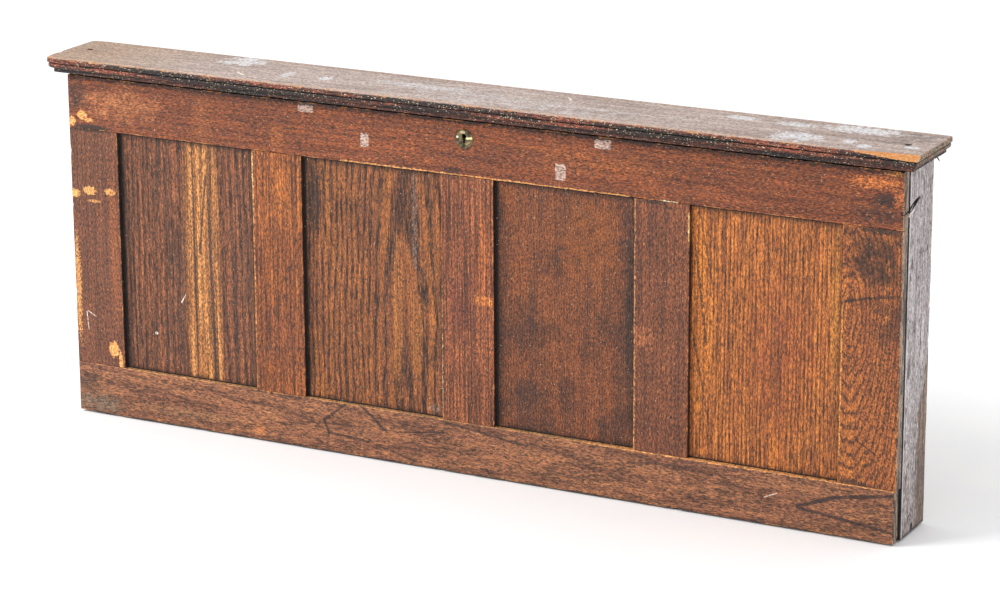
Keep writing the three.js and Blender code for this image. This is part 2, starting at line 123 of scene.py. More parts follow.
class CabinetFinish(bpy.types.PropertyGroup):
    """Colours of the cabinet's materials."""

    oak: colour("Oak", "Varnished oak of the door frame", "69300e")
    bare: colour("Bare oak", "Wood laid bare at chips", "d08a4e")
    # Its dark also paints the shade on the recess walls and the shadow round the panels.
    grime_and_shade: colour("Grime", "Dirt held in corners", "120c09")
    # Painted sheen: this grey is lighter than the weathered wood, to stand in for the sheen on the
    # right side.
    weathered_and_sheen: colour("Weathered", "Greyed wood of the sides", "b4abaa")
    pine: colour("Pine", "Bare wood of the rack and back", "a67c4c")
    brass: colour("Brass", "Tarnished brass", "6d5a3a")
    steel: colour("Steel", "Dull iron of the lock", "4d4a46")


class CabinetStudio(bpy.types.PropertyGroup):
    """Camera, sky and light."""

    azimuth: bpy.props.FloatProperty(
        name="Azimuth", description="Camera's turn to the right of straight ahead",
        default=math.radians(27.53), subtype="ANGLE")
    elevation: bpy.props.FloatProperty(
        name="Elevation", description="Camera's height above the level, as an angle",
        default=math.radians(16.45), subtype="ANGLE")
    roll: bpy.props.FloatProperty(
        name="Roll", description="Camera's turn about its own axis",
        default=math.radians(-0.292), subtype="ANGLE")
    distance: length("Distance", "From the camera to its aim", 3.7994)
    lens: bpy.props.FloatProperty(
        name="Lens", description="Focal length", default=125.5, unit="CAMERA")
    aim: bpy.props.FloatVectorProperty(
        name="Aim", description="Camera's aim from the middle of the cabinet",
        default=(0.0367, -0.0150, -0.0119), subtype="XYZ", unit="LENGTH")
    sky: bpy.props.FloatProperty(
        name="Sky", description="Brightness of the white surroundings", default=1.0)
    key: bpy.props.FloatProperty(
        name="Key", description="Power of the large light, in watts", default=105.0)


def shape():
    """Settings of the worn edges and grids."""
    return bpy.context.scene.cabinet_shape


def finish():
    """Settings of the materials' colours."""
    return bpy.context.scene.cabinet_finish


# ------------------------------------------------------------------ surfaces

WEAR_WAVE, BARE_WAVE = 0.11, 0.07
NICK_SPACING, NICK_WIDTH = 0.03, 2.2 * MM


def ripple(along, seed, wave, octaves=4):
    """Sum of sines of halving wavelength with seeded phases, from about -1 to 1."""
    draw = np.random.default_rng(seed)
    total = np.zeros_like(along)
    for octave in range(octaves):
        stretch = draw.uniform(0.8, 1.25)
        phase = draw.uniform(0, 2 * math.pi)
        total += np.sin(2 * math.pi * along * 2 ** octave * stretch / wave + phase) / 1.6 ** octave
    return total / 1.9


def nicks(along, seed, count, width, depth):
    """Sum of narrow bells at seeded places: depth times exp of minus distance over width squared."""
    draw = np.random.default_rng(seed)
    centres = draw.uniform(along.min(), along.max(), count)
    widths = width * draw.uniform(0.4, 1.6, count)
    depths = depth * draw.uniform(0.1, 1.0, count) ** 2
    bells = np.exp(-((along[:, None] - centres) / widths) ** 2)
    return (bells * depths).sum(axis=1)


def skin(name, rings, closed=False, wear=None):
    """Closed mesh over a grid of rings (rings, points, xyz), each ring closed on itself.

    The first and last rings are shut by a half-size ring and a pole at their middle, or
    joined to each other where closed is set. Faces are turned outwards by the sign of the
    enclosed volume.
    """
    count, around, _ = rings.shape
    wear = np.zeros((count, around)) if wear is None else wear
    if not closed:
        first, last = [(ring.min(axis=0) + ring.max(axis=0)) / 2 for ring in rings[[0, -1]]]
        rings = np.concatenate([[(rings[0] + first) / 2], rings, [(rings[-1] + last) / 2]])
        wear = np.concatenate([wear[:1] * 0, wear, wear[-1:] * 0])
        count += 2
    points = rings.reshape(-1, 3)
    index = np.arange(count * around).reshape(count, around)
    ahead = np.roll(index, -1, axis=1)
    above = np.roll(index, -1, axis=0)
    over = np.roll(above, -1, axis=1)
    rows = count if closed else count - 1
    quads = np.stack([index, ahead, over, above], axis=-1)[:rows].reshape(-1, 4)
    values = wear.reshape(-1)
    fans = np.zeros((0, 3), int)
    if not closed:
        points = np.concatenate([points, [first, last]])
        values = np.concatenate([values, [0, 0]])
        pole = np.full(around, len(points) - 2)
        fans = np.concatenate([
            np.stack([ahead[0], index[0], pole], axis=-1),
            np.stack([index[-1], ahead[-1], pole + 1], axis=-1),
        ])
    corners = points[quads]
    volume = (np.cross(corners[:, 0], corners[:, 1]) * corners[:, 2]).sum()
    volume += (np.cross(corners[:, 0], corners[:, 2]) * corners[:, 3]).sum()
    if len(fans):
        tips = points[fans]
        volume += (np.cross(tips[:, 0], tips[:, 1]) * tips[:, 2]).sum()
    if volume < 0:
        quads, fans = quads[:, ::-1], fans[:, ::-1]
    mesh = bpy.data.meshes.new(name)
    mesh.from_pydata(points, [], quads.tolist() + fans.tolist())
    mesh.shade_smooth()
    mesh.set_sharp_from_angle(angle=math.radians(40))
    attribute = mesh.attributes.new("wear", "FLOAT", "POINT")
    attribute.data.foreach_set("value", values.astype(np.float32))
    made = bpy.data.objects.new(name, mesh)
    bpy.context.scene.collection.objects.link(made)
    return made


def section(corners, radius, step):
    """Closed outline of a board's section: straight sides joined by arcs of the arris radius.

    Returns points, outward normals, nearness to an arris (1 on it, fading as exp of minus the
    distance), the nearest corner's number and that corner's outward bisector.
    """
    arc_points, lead_in, fade = 5, 0.7 * MM, 1.3 * MM
    corners = np.asarray(corners, float)
    after = np.roll(corners, -1, axis=0)
    if (corners[:, 0] * after[:, 1] - corners[:, 1] * after[:, 0]).sum() < 0:
        corners = corners[::-1]
    turn = np.roll(corners, -1, axis=0) - corners
    way = turn / np.linalg.norm(turn, axis=1, keepdims=True)
    normal = np.stack([way[:, 1], -way[:, 0]], axis=1)
    total = len(corners)
    starts, stops, arcs, bisectors = [], [], [], []
    for i in range(total):
        before, after = normal[i - 1], normal[i]
        angle = math.acos(np.clip(before @ after, -1, 1))
        back = radius * math.tan(angle / 2)
        centre = corners[i] - way[i - 1] * back - before * radius
        base = math.atan2(before[1], before[0])
        sweep = base + np.linspace(0, angle, arc_points)
        facing = np.stack([np.cos(sweep), np.sin(sweep)], axis=1)
        arcs.append((centre + radius * facing, facing))
        starts.append(arcs[-1][0][0])
        stops.append(arcs[-1][0][-1])
        bisectors.append((before + after) / np.linalg.norm(before + after))
    points, normals, near, number = [], [], [], []
    for i in range(total):
        spots, facing = arcs[i]
        points.append(spots)
        normals.append(facing)
        near.append(np.ones(len(spots)))
        number.append(np.full(len(spots), i))
        other = (i + 1) % total
        span = starts[other] - stops[i]
        reach = np.linalg.norm(span)
        lead = min(lead_in, reach / 4)
        inner = np.linspace(lead, reach - lead, max(3, int(reach / step) + 1))
        points.append(stops[i] + inner[:, None] * span / reach)
        normals.append(np.repeat(normal[i][None], len(inner), axis=0))
        gap = np.minimum(inner, reach - inner)
        near.append(np.exp(-gap / fade))
        number.append(np.where(inner < reach / 2, i, other))
    number = np.concatenate(number)
    return (np.concatenate(points), np.concatenate(normals), np.concatenate(near), number,
            np.array(bisectors)[number])


def worn_board(name, corners, plane, start, stop, seed, radius=None, wear=None, chips=()):
    """A board: its section carried along one axis, with rounded, rubbed and nicked arrises.

    plane gives the two axes of the section and the axis of the length. Each ring is the section
    drawn in along its normals by the arris radius times one minus the sine of the end's roll.
    Points near an arris move in along its bisector by seeded wear; chips are (along, width,
    depth, corner) bells added to it.
    """
    radius = radius or shape().arris
    depth = shape().edge_wear if wear is None else wear
    spots, normals, near, number, bisectors = section(corners, radius, shape().face_step)
    roll = np.linspace(0, math.pi / 2, 4)[:-1]
    inner = np.linspace(start + radius, stop - radius,
                        max(4, int((stop - start) / shape().grid_step)))
    lead = radius * (1 - np.cos(roll))
    along = np.concatenate([start + lead, inner, stop - lead[::-1]])
    inset = np.zeros(len(along))
    inset[:len(roll)] = radius * (1 - np.sin(roll))
    inset[-len(roll):] = inset[:len(roll)][::-1]
    worn = np.zeros((len(along), len(spots)))
    rubbed = np.zeros_like(worn)
    for corner in range(number.max() + 1):
        mine = number == corner
        rub = depth * (0.5 + 0.5 * ripple(along, seed * 31 + corner, WEAR_WAVE))
        rub += nicks(along, seed * 17 + corner, int((stop - start) / NICK_SPACING),
                     NICK_WIDTH, shape().nick_depth if depth else 0)
        for centre, width, bite, at in chips:
            if at == corner:
                rub += bite * np.exp(-((along - centre) / width) ** 4)
        worn[:, mine] = rub[:, None] * near[mine]
        bare = np.clip(0.45 + 0.5 * ripple(along, seed * 13 + corner, BARE_WAVE), 0.05, 1)
        bare = np.clip(bare + rub / (1.2 * MM), 0, 1)
        rubbed[:, mine] = bare[:, None] * near[mine]
    flat = spots - normals * inset[:, None, None] - bisectors * worn[:, :, None]
    rings = np.zeros(flat.shape[:2] + (3,))
    rings[..., plane[0]] = flat[..., 0]
    rings[..., plane[1]] = flat[..., 1]
    rings[..., plane[2]] = along[:, None]
    return skin(name, rings, wear=rubbed)


def box_cutter(low, high):
    """Plain closed box between two corners, to cut with."""
    low, high = np.array(low), np.array(high)
    ring = np.array([[0, 0], [1, 0], [1, 1], [0, 1]])
    rings = np.array([[[x, y, z] for x, y in ring] for z in (0, 1)], float)
    return skin("cutter", low + rings * (high - low))


def prism_cutter(outline, axis, low, high):
    """Outline in the two axes other than axis, taken in order, carried from low to high."""
    others = [a for a in range(3) if a != axis]
    rings = np.zeros((2, len(outline), 3))
    rings[..., others[0]] = outline[:, 0]
    rings[..., others[1]] = outline[:, 1]
    rings[0, :, axis] = low
    rings[1, :, axis] = high
    return skin("cutter", rings)


def centre_of(low, high, axes):
    """Middle of a box along the numbered axes."""
    return tuple((low[axis] + high[axis]) / 2 for axis in axes)


def circle(radius, centre, points=40):
    """Points of a circle: centre plus radius times cosine and sine of the angle."""
    angle = np.arange(points) * 2 * math.pi / points
    return np.stack([centre[0] + radius * np.cos(angle), centre[1] + radius * np.sin(angle)], 1)


def carve(piece, cutters):
    """Cuts the closed cutters out of a piece and leaves the result as its mesh."""
    for cutter in cutters:
        modifier = piece.modifiers.new("cut", "BOOLEAN")
        modifier.operation = "DIFFERENCE"
        modifier.solver = "EXACT"
        modifier.object = cutter
    scene_graph = bpy.context.evaluated_depsgraph_get()
    cut = bpy.data.meshes.new_from_object(piece.evaluated_get(scene_graph))
    piece.modifiers.clear()
    cut.name = piece.name
    piece.data = cut
    for cutter in cutters:
        bpy.data.objects.remove(cutter)
    return piece


def dress(piece, material):
    """Makes a material the only one of a piece."""
    piece.data.materials.clear()
    piece.data.materials.append(material)


def place(piece, body, slot, material, *replaced):
    """Gives a finished piece its material, the body it rides on and the node it stands for."""
    dress(piece, material)
    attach(piece, body)
    if replaced:
        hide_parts(*replaced)
    return piece


# ------------------------------------------------------------------ shader graph

class Value:
    """A number or colour flowing through a shader. Arithmetic on it adds Math nodes."""

    def __init__(self, graph, socket):
        self.graph = graph
        self.socket = socket

    def __add__(self, other):
        return self.graph.math("ADD", self, other)

    def __radd__(self, other):
        return self.graph.math("ADD", other, self)

    def __sub__(self, other):
        return self.graph.math("SUBTRACT", self, other)

    def __rsub__(self, other):
        return self.graph.math("SUBTRACT", other, self)

    def __mul__(self, other):
        return self.graph.math("MULTIPLY", self, other)

    def __rmul__(self, other):
        return self.graph.math("MULTIPLY", other, self)

    def __truediv__(self, other):
        return self.graph.math("DIVIDE", self, other)

    def __rtruediv__(self, other):
        return self.graph.math("DIVIDE", other, self)

    def __pow__(self, other):
        return self.graph.math("POWER", self, other)

    def __abs__(self):
        return self.graph.math("ABSOLUTE", self)


class Graph:
    """A material's node tree, with one method that adds any node."""

    def __init__(self, name):
        self.material = bpy.data.materials.new(name)
        self.material.use_nodes = True
        self.tree = self.material.node_tree
        self.tree.nodes.clear()
        self.shader = self.tree.nodes.new("ShaderNodeBsdfPrincipled")
        output = self.tree.nodes.new("ShaderNodeOutputMaterial")
        self.tree.links.new(self.shader.outputs[0], output.inputs[0])
        coordinates = self.node("ShaderNodeTexCoord", output="Object")
        split = self.node("ShaderNodeSeparateXYZ", inputs={0: coordinates})
        axes = split.socket.node.outputs
        self.x, self.y, self.z = [Value(self, axes[i]) * 1000 for i in range(3)]

    def node(self, kind, settings=None, inputs=None, output=0):
        """Adds a node: its settings first, then values or links of its sockets."""
        made = self.tree.nodes.new(kind)
        for key, value in (settings or {}).items():
            setattr(made, key, value)
        for key, value in (inputs or {}).items():
            self.feed(made.inputs[key], value)
        return Value(self, made.outputs[output])

    def feed(self, socket, value):
        """Links a value into a socket, or sets a plain number or a colour or its code on it."""
        if isinstance(value, Value):
            self.tree.links.new(value.socket, socket)
        else:
            socket.default_value = tone(value) if isinstance(value, str) else value

    def math(self, operation, *values):
        """A Math node's result."""
        return self.node("ShaderNodeMath", {"operation": operation}, dict(enumerate(values)))

    def vector(self, x, y, z):
        """Three values joined into a vector."""
        return self.node("ShaderNodeCombineXYZ", inputs={0: x, 1: y, 2: z})

    def noise(self, x, y, z, detail=2.0, roughness=0.55):
        """Noise of unit wavelength in the three values given, mostly between 0.3 and 0.7."""
        settings = {"noise_dimensions": "3D"}
        inputs = {"Vector": self.vector(x, y, z), "Scale": 1.0, "Detail": detail,
                  "Roughness": roughness}
        return self.node("ShaderNodeTexNoise", settings, inputs)

    def rise(self, value, low, high, top=1.0):
        """Smooth step from 0 at low to top at high."""
        settings = {"interpolation_type": "SMOOTHSTEP", "clamp": True}
        inputs = {"Value": value, "From Min": low, "From Max": high, "To Min": 0.0, "To Max": top}
        return self.node("ShaderNodeMapRange", settings, inputs)

    def mix(self, factor, first, second, blend="MIX"):
        """The first colour where the factor is 0, blended with the second where it is 1."""
        settings = {"data_type": "RGBA", "blend_type": blend, "clamp_factor": True}
        return self.node("ShaderNodeMix", settings, {0: factor, 6: first, 7: second}, output=2)

    def attribute(self, name):
        """A number stored on the mesh's points."""
        return self.node("ShaderNodeAttribute", {"attribute_name": name}, output="Fac")

    def blot(self, across, up, centre, size, seed, ragged=1.2, soft=0.35, square=1.0):
        """Ragged patch: 1 inside an ellipse whose edge is broken up by noise, 0 outside.

        The squares of both distances are raised to the power square, which squares it up.
        """
        dx = (across - centre[0]) / size[0]
        dz = (up - centre[1]) / size[1]
        often = min(0.5, max(0.06, 2.2 / min(size)))
        rough = self.noise(across * often + seed, up * often, seed, 5, 0.7) - 0.5
        level = 1.0 - (dx * dx) ** square - (dz * dz) ** square + rough * (4 * ragged)
        return self.rise(level, 0.0, soft)

    def stroke(self, across, up, start, stop, width, seed, ragged=0.6, soft=0.6):
        """Ragged line: 1 near the segment between two points, 0 further off than its width."""
        sx, sz = stop[0] - start[0], stop[1] - start[1]
        span = sx * sx + sz * sz
        run = ((across - start[0]) * sx + (up - start[1]) * sz) / span
        run = self.math("MINIMUM", self.math("MAXIMUM", run, 0.0), 1.0)
        dx = across - start[0] - run * sx
        dz = up - start[1] - run * sz
        gap = self.math("SQRT", dx * dx + dz * dz) / width
        rough = self.noise(across * 0.3 + seed, up * 0.3, seed, 4, 0.7) - 0.5
        return self.rise(1.0 - gap + rough * (4 * ragged), 0.0, soft)

    def painted(self, shade, marks, axes="xz"):
        """A colour with marks laid over it in the plane of two axes.

        A mark is its kind, colour code and strength, then the values of a blot (centre, size,
        seed, ragged, soft, square) or of a stroke (start, stop, width, seed, ragged, soft), its
        lengths in millimetres.
        """
        across, up = (getattr(self, axis) for axis in axes)
        for kind, code, strength, *values in marks:
            draw = self.blot if kind == "blot" else self.stroke
            shade = self.mix(draw(across, up, *values) * strength, shade, code)
        return shade

    def finish(self, colour_value, roughness, height=None, depth=0.0002):
        """Feeds the shader's colour, roughness and bump, the bump's depth being in metres."""
        sockets = self.shader.inputs
        self.feed(sockets["Base Color"], colour_value)
        self.feed(sockets["Roughness"], roughness)
        if height is not None:
            bump = self.node("ShaderNodeBump", inputs={
                "Strength": 1.0, "Distance": depth, "Height": height})
            self.feed(sockets["Normal"], bump)
        return self.material


# ------------------------------------------------------------------ oak

def grain_axes(graph, grain, face):
    """Across, through and along the grain, in millimetres, for a board's grain and face axes."""
    axes = {"x": graph.x, "y": graph.y, "z": graph.z}
    across = next(axes[a] for a in "xyz" if a not in (grain, face))
    return across, axes[face], axes[grain]


def oak_figure(graph, grain, face, seed, centre=0.0, heart=(60.0, 0.12), ring=4.0, early=0.45,
               sway=14.0, wobble=0.6, pore=(0.5, 0.06), fibre=0.26):
    """Growth rings and pores of sawn oak.

    Rings are level sets of the distance from the heart of the log, which lies heart[0] mm behind
    the face and comes nearer by heart[1] per mm of length, so that they close into cathedral
    arches near the centre line. Returns the ring darkness, pores, fine grit and slow streaks.
    """
    across, through, along = grain_axes(graph, grain, face)
    slow = graph.noise(across * 0.012 + seed, through * 0.02, along * 0.004 + seed, 2) - 0.5
    side = across - centre + slow * (2 * sway)
    deep = along * heart[1] + (heart[0] + through * 0.6)
    reach = graph.math("SQRT", side * side + deep * deep)
    jitter = graph.noise(across * 0.09 + seed, through * 0.05, along * 0.016, 4, 0.7) - 0.5
    phase = graph.math("FRACT", reach / ring + jitter * (2 * wobble))
    dark = graph.math("MAXIMUM", 1 - graph.rise(phase, early * 0.45, early),
                      graph.rise(phase, 0.93, 1.0))
    pores = graph.noise(across * pore[0] + seed, through * pore[0], along * pore[1] + seed, 3,
                        0.65)
    fine = graph.noise(across * 0.8, through * 0.8 + seed, along * fibre, 2, 0.8)
    streak = graph.noise(across * 0.13, through * 0.1, along * 0.007 + seed, 4, 0.62)
    return dark, pores, fine, streak


def panel_dirt_and_shadow(graph, dirt_and_shadow_box, seed):
    """Mask of the dirt and the painted shadow round a sunk panel, its opening given as (left,
    right), (foot, head).

    It is a ragged border of dirt with painted shade over a thin even one of painted shadow, both
    wider on the left and at the head.
    """
    (left, right), (foot, head) = dirt_and_shadow_box
    edge = graph.math("MINIMUM", (graph.x - left) / 2.2, right - graph.x)
    upright = graph.math("MINIMUM", graph.z - foot, (head - graph.z) / 1.4)
    edge = graph.math("MINIMUM", edge, upright)
    ragged = edge + (graph.noise(graph.x * 0.08, seed, graph.z * 0.05, 4, 0.65) - 0.5) * 9
    dirt = (1 - graph.rise(ragged, 0.0, 7.0)) * 0.6
    return graph.math("MAXIMUM", dirt, 1 - graph.rise(edge, 0.9, 2.9))


def greyed_ends_and_gap_shadow(graph, shade, sharp, outer):
    """A colour turned to grey end grain on the faces at each outer x, with a painted shadow of the
    gap behind the door, black, at their rear.
    """
    grain = graph.noise(graph.x * 0.3, graph.y * 0.35, graph.z * 0.04, 5, 0.7)
    grey = graph.mix(graph.rise(grain, 0.44, 0.58), "35261c", "9c8470")
    grey = graph.mix(0.8, grey, sharp, "OVERLAY")
    # Painted shadow: black along the rear of each end face, where the gap behind the door is in
    # shade.
    back = graph.rise(graph.y, DOOR_HIGH.y / MM - 1.6, DOOR_HIGH.y / MM - 0.7)
    for place_at in outer:
        end = 1 - graph.rise(abs(graph.x - place_at / MM), 0.3, 0.8)
        shade = graph.mix(end, shade, grey)
        shade = graph.mix(back * end, shade, "0a0706")
    return shade


def recess_shade(graph, outer):
    """Mask of painted shade on the edges that stand over the sunk panels, without the faces at each
    outer x.
    """
    front = DOOR_LOW.y / MM
    wall = graph.rise(graph.y, front + 0.5, front + 1.3)
    wall = wall * (1 - graph.rise(graph.y, front + 5.4, front + 6))
    for place_at in outer:
        wall = wall * graph.rise(abs(graph.x - place_at / MM), 0.3, 0.8)
    return wall * 0.92


def oak(name, grain, face, seed, main, dark, light, figure=None, ring_strength=0.5,
        pore_strength=0.7, fleck=0.35, grit=0.55, lines=0.0, cloud=0.3, marks=(),
        dirt_and_shadow_box=None, outer=(), recess=False):
    """Varnished old oak: rings, pores, flecks, grit, marks, dirt with a painted shadow round the
    panels, painted shade on the recess walls, greyed ends with a painted shadow of the gap at
    their rear, bare arrises.

    The marks lie on the outer face only, so their mask ends a little behind it.
    """
    graph = Graph(name)
    across, through, along = grain_axes(graph, grain, face)
    rings, pores, fine, streak = oak_figure(graph, grain, face, seed, **(figure or {}))
    shade = graph.mix(graph.rise(streak, 0.36, 0.64), main, light)
    broad = graph.noise(graph.x * 0.016 + seed, graph.y * 0.01, graph.z * 0.02, 5, 0.68)
    shade = graph.mix(graph.rise(broad, 0.45, 0.64, cloud), shade, dark)
    band = graph.rise(pores, 0.36, 0.6)
    shade = graph.mix(rings * (0.45 + 0.55 * band) * ring_strength, shade, dark)
    dashes = graph.rise(pores, 0.5, 0.6) * (0.4 + 0.6 * rings)
    shade = graph.mix(dashes * pore_strength, shade, "1f110b")
    flecks = graph.rise(1 - pores, 0.55, 0.68, fleck) * (1 - 0.7 * rings)
    shade = graph.mix(flecks, shade, "cf8a48")
    outside = 1 - graph.rise(graph.y, DOOR_LOW.y / MM + 8.4, DOOR_LOW.y / MM + 8.9)
    shade = graph.mix(outside, shade, graph.painted(shade, marks))
    sharp = graph.rise(fine, 0.33, 0.67) * 0.88 + 0.12
    shade = graph.mix(grit, shade, sharp, "OVERLAY")
    if lines:
        comb = graph.noise(across * 0.42 + seed, through * 0.4, along * 0.008, 2, 0.6)
        shade = graph.mix(lines, shade, graph.rise(comb, 0.32, 0.68), "OVERLAY")
    roughness = 0.42 + graph.rise(broad, 0.35, 0.7, 0.12) + dashes * 0.2 + (sharp - 0.5) * 0.1
    # Dirt round the panel over a painted shadow, both widest along its left edge and head.
    if dirt_and_shadow_box:
        dirt = panel_dirt_and_shadow(graph, dirt_and_shadow_box, seed)
        shade = graph.mix(dirt, shade, finish().grime_and_shade)
        roughness = roughness + dirt * 0.2
    shade = greyed_ends_and_gap_shadow(graph, shade, sharp, outer)
    if recess:
        # Painted shade: the walls of the recesses round the panels darkened.
        shade = graph.mix(recess_shade(graph, outer), shade, finish().grime_and_shade)
    patchy = graph.noise(graph.x * 0.22 + seed, graph.y * 0.3, graph.z * 0.22, 4, 0.68)
    rubbed = graph.rise(graph.attribute("wear") + (patchy - 0.5) * 2.2, 0.6, 1.0, 0.85)
    shade = graph.mix(rubbed, shade, finish().bare)
    specks = graph.noise(graph.x * 0.6, graph.y * 0.6 + seed, graph.z * 0.6, 1, 0.5)
    shade = graph.mix(graph.rise(specks, 0.745, 0.78, 0.7), shade, "dcc7aa")
    height = 0.5 - dashes * 0.9 - rings * 0.2 + (sharp - 0.5) * 0.5 + (streak - 0.5) * 0.6
    return graph.finish(shade, roughness, height, 0.0004)


# ------------------------------------------------------------------ door frame

def front_corners(low, high):
    """Corners of a board's section in Y and Z."""
    return [(low.y, low.z), (high.y, low.z), (high.y, high.z), (low.y, high.z)]


def plan_corners(low, high):
    """Corners of a board's section in X and Y."""
    return [(low.x, low.y), (high.x, low.y), (high.x, high.y), (low.x, high.y)]


def spindle(start, stop, width, points=14):
    """Pointed slot between two points: half its width times the sine of the run along it."""
    start, stop = np.array(start), np.array(stop)
    run = np.linspace(0, math.pi, points)
    middle = start + (run / math.pi)[:, None] * (stop - start)
    way = (stop - start) / np.linalg.norm(stop - start)
    aside = np.array([-way[1], way[0]]) * (width / 2 * np.sin(run) ** 0.7)[:, None]
    return np.concatenate([middle + aside, (middle - aside)[-2:0:-1]])


def keyhole(points=96, margin=0.0):
    """Keyhole outline about the plate's middle, evenly spaced: a round with a slot below it."""
    radius, half = 2.7 * MM + margin, 1.3 * MM + margin
    rise, foot = 3.3 * MM, -4.4 * MM - margin
    spread = math.asin(half / radius)
    sweep = np.linspace(-math.pi / 2 + spread, 1.5 * math.pi - spread, 60)
    bend = np.stack([radius * np.cos(sweep), rise + radius * np.sin(sweep)], axis=1)
    outline = np.concatenate([bend, [[-half, foot], [half, foot], bend[0]]])
    step = np.linalg.norm(np.diff(outline, axis=0), axis=1)
    run = np.concatenate([[0], np.cumsum(step)])
    even = np.arange(points) * run[-1] / points
    return np.stack([np.interp(even, run, outline[:, i]) for i in (0, 1)], axis=1)


def make_top_rail():
    """Top rail with the lock's mortise, the keyhole and the gouge in its right end cut in it."""
    low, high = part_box("door_rail_top")
    lock_low, lock_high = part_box("lock_case")
    cap_low, cap_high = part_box("lock_cap")
    slack = 0.3 * MM
    rail = worn_board("top_rail", front_corners(low, high), (1, 2, 0), low.x, high.x, 11,
                      radius=0.5 * MM, chips=((low.x + 6 * MM, 5 * MM, 1.2 * MM, 3),))
    middle = np.array(centre_of(PLATE_LOW, PLATE_HIGH, (0, 2)))
    plate_radius = (PLATE_HIGH.x - PLATE_LOW.x) / 2 + 0.15 * MM
    gouge = spindle((low.y - 1 * MM, GOUGE_MM * MM), (high.y + 3 * MM, (GOUGE_MM + 1.4) * MM),
                    shape().gouge_width)
    carve(rail, [
        box_cutter((lock_low.x - slack, lock_low.y - slack, lock_low.z - slack),
                   (lock_high.x + slack, high.y + 1 * MM, high.z + 1 * MM)),
        box_cutter((cap_low.x - slack, cap_low.y - 1.1 * slack, cap_high.z - 1.5 * MM),
                   (cap_high.x + slack, high.y + 2 * MM, high.z + 2 * MM)),
        prism_cutter(circle(plate_radius, middle, 60), 1, low.y - 1 * MM, PLATE_HIGH.y + 0.1 * MM),
        prism_cutter(keyhole() + middle, 1, low.y - 1.5 * MM, lock_low.y + 1.5 * MM),
        prism_cutter(gouge, 0, high.x - 3.5 * MM, high.x + 1 * MM),
    ])
    label, bare, black = "c9b3a6", "dc9a56", "130c0a"
    marks = [
        ("blot", "8a4c20", 0.6, (-330, 366), (14, 40), 1.1, 0.8, 1.2),
        ("blot", "93501f", 0.6, (-232, 356), (12, 26), 2.1, 0.9, 1.2),
        ("blot", "a8683c", 0.7, (-440, 372), (64, 28), 3.1, 1.2, 1.6),
        ("blot", "2b1a14", 0.6, (-497, 378), (16, 30), 4.1, 1.0, 1.2),
        ("blot", "97521f", 0.5, (160, 372), (120, 18), 5.1, 1.2, 1.6),
        ("blot", label, 0.55, (-194, 395), (10, 5.5), 1.0, 0.35, 0.3, 3.0),
        ("blot", label, 0.6, (-120, 366), (5.2, 8), 2.0, 0.3, 0.3, 3.0),
        ("blot", label, 0.55, (119, 357), (6.5, 9.5), 3.0, 0.5, 0.4, 3.0),
        ("blot", label, 0.55, (169, 393), (10, 5.5), 4.0, 0.3, 0.3, 3.0),
        ("blot", "c86f2e", 0.7, (478, 387), (34, 8), 5.0, 1.5, 0.9),
        ("blot", "c8703a", 0.6, (504, 372), (7, 12), 5.5, 1.3, 0.8),
        ("blot", "d98a44", 0.8, (497, 398), (16, 3), 5.8, 0.8, 0.5),
        ("blot", "1b100e", 0.8, (488, 370), (15, 11), 6.0, 1.3, 0.9),
        ("blot", "21130f", 0.7, (476, 352), (30, 9), 6.4, 1.5, 0.9),
        ("blot", bare, 0.95, (-490, 355), (7, 5.5), 7.0, 0.5, 0.15),
        ("blot", bare, 0.95, (-504, 347), (5, 6), 8.0, 0.4, 0.15),
        ("blot", bare, 0.8, (-481, 350), (6, 2.5), 8.5, 0.7, 0.2),
        ("blot", black, 0.9, (-478, 341.5), (30, 4), 9.0, 1.0, 0.6),
        ("blot", black, 0.6, (-12, 344), (14, 5), 9.5, 1.2, 0.8),
        # Painted shadow under the top board's moulding, over some dirt: a dark band along the rail's
        # head.
        ("stroke", black, 0.85, (-508, 401), (508, 401), 5.0, 9.7, 0.9),
        ("stroke", bare, 0.7, (-150, 340), (200, 340), 1.2, 9.9, 1.2),
        ("stroke", "d8c9a0", 0.8, (236, 339.5), (256, 339.5), 1.2, 4.9, 0.8),
    ]
    figure = dict(heart=(30.0, 0.02), ring=6.0, centre=350, pore=(0.7, 0.18))
    material = oak("top rail oak", "x", "y", 3.1, finish().oak, "3a2018", "7f3d13",
                   figure=figure, ring_strength=0.15, pore_strength=0.25, fleck=0.3, grit=1.0,
                   cloud=0.25, marks=marks, outer=(low.x, high.x), recess=True)
    place(rail, "drop_front", "frame_oak", material, "door_rail_top")


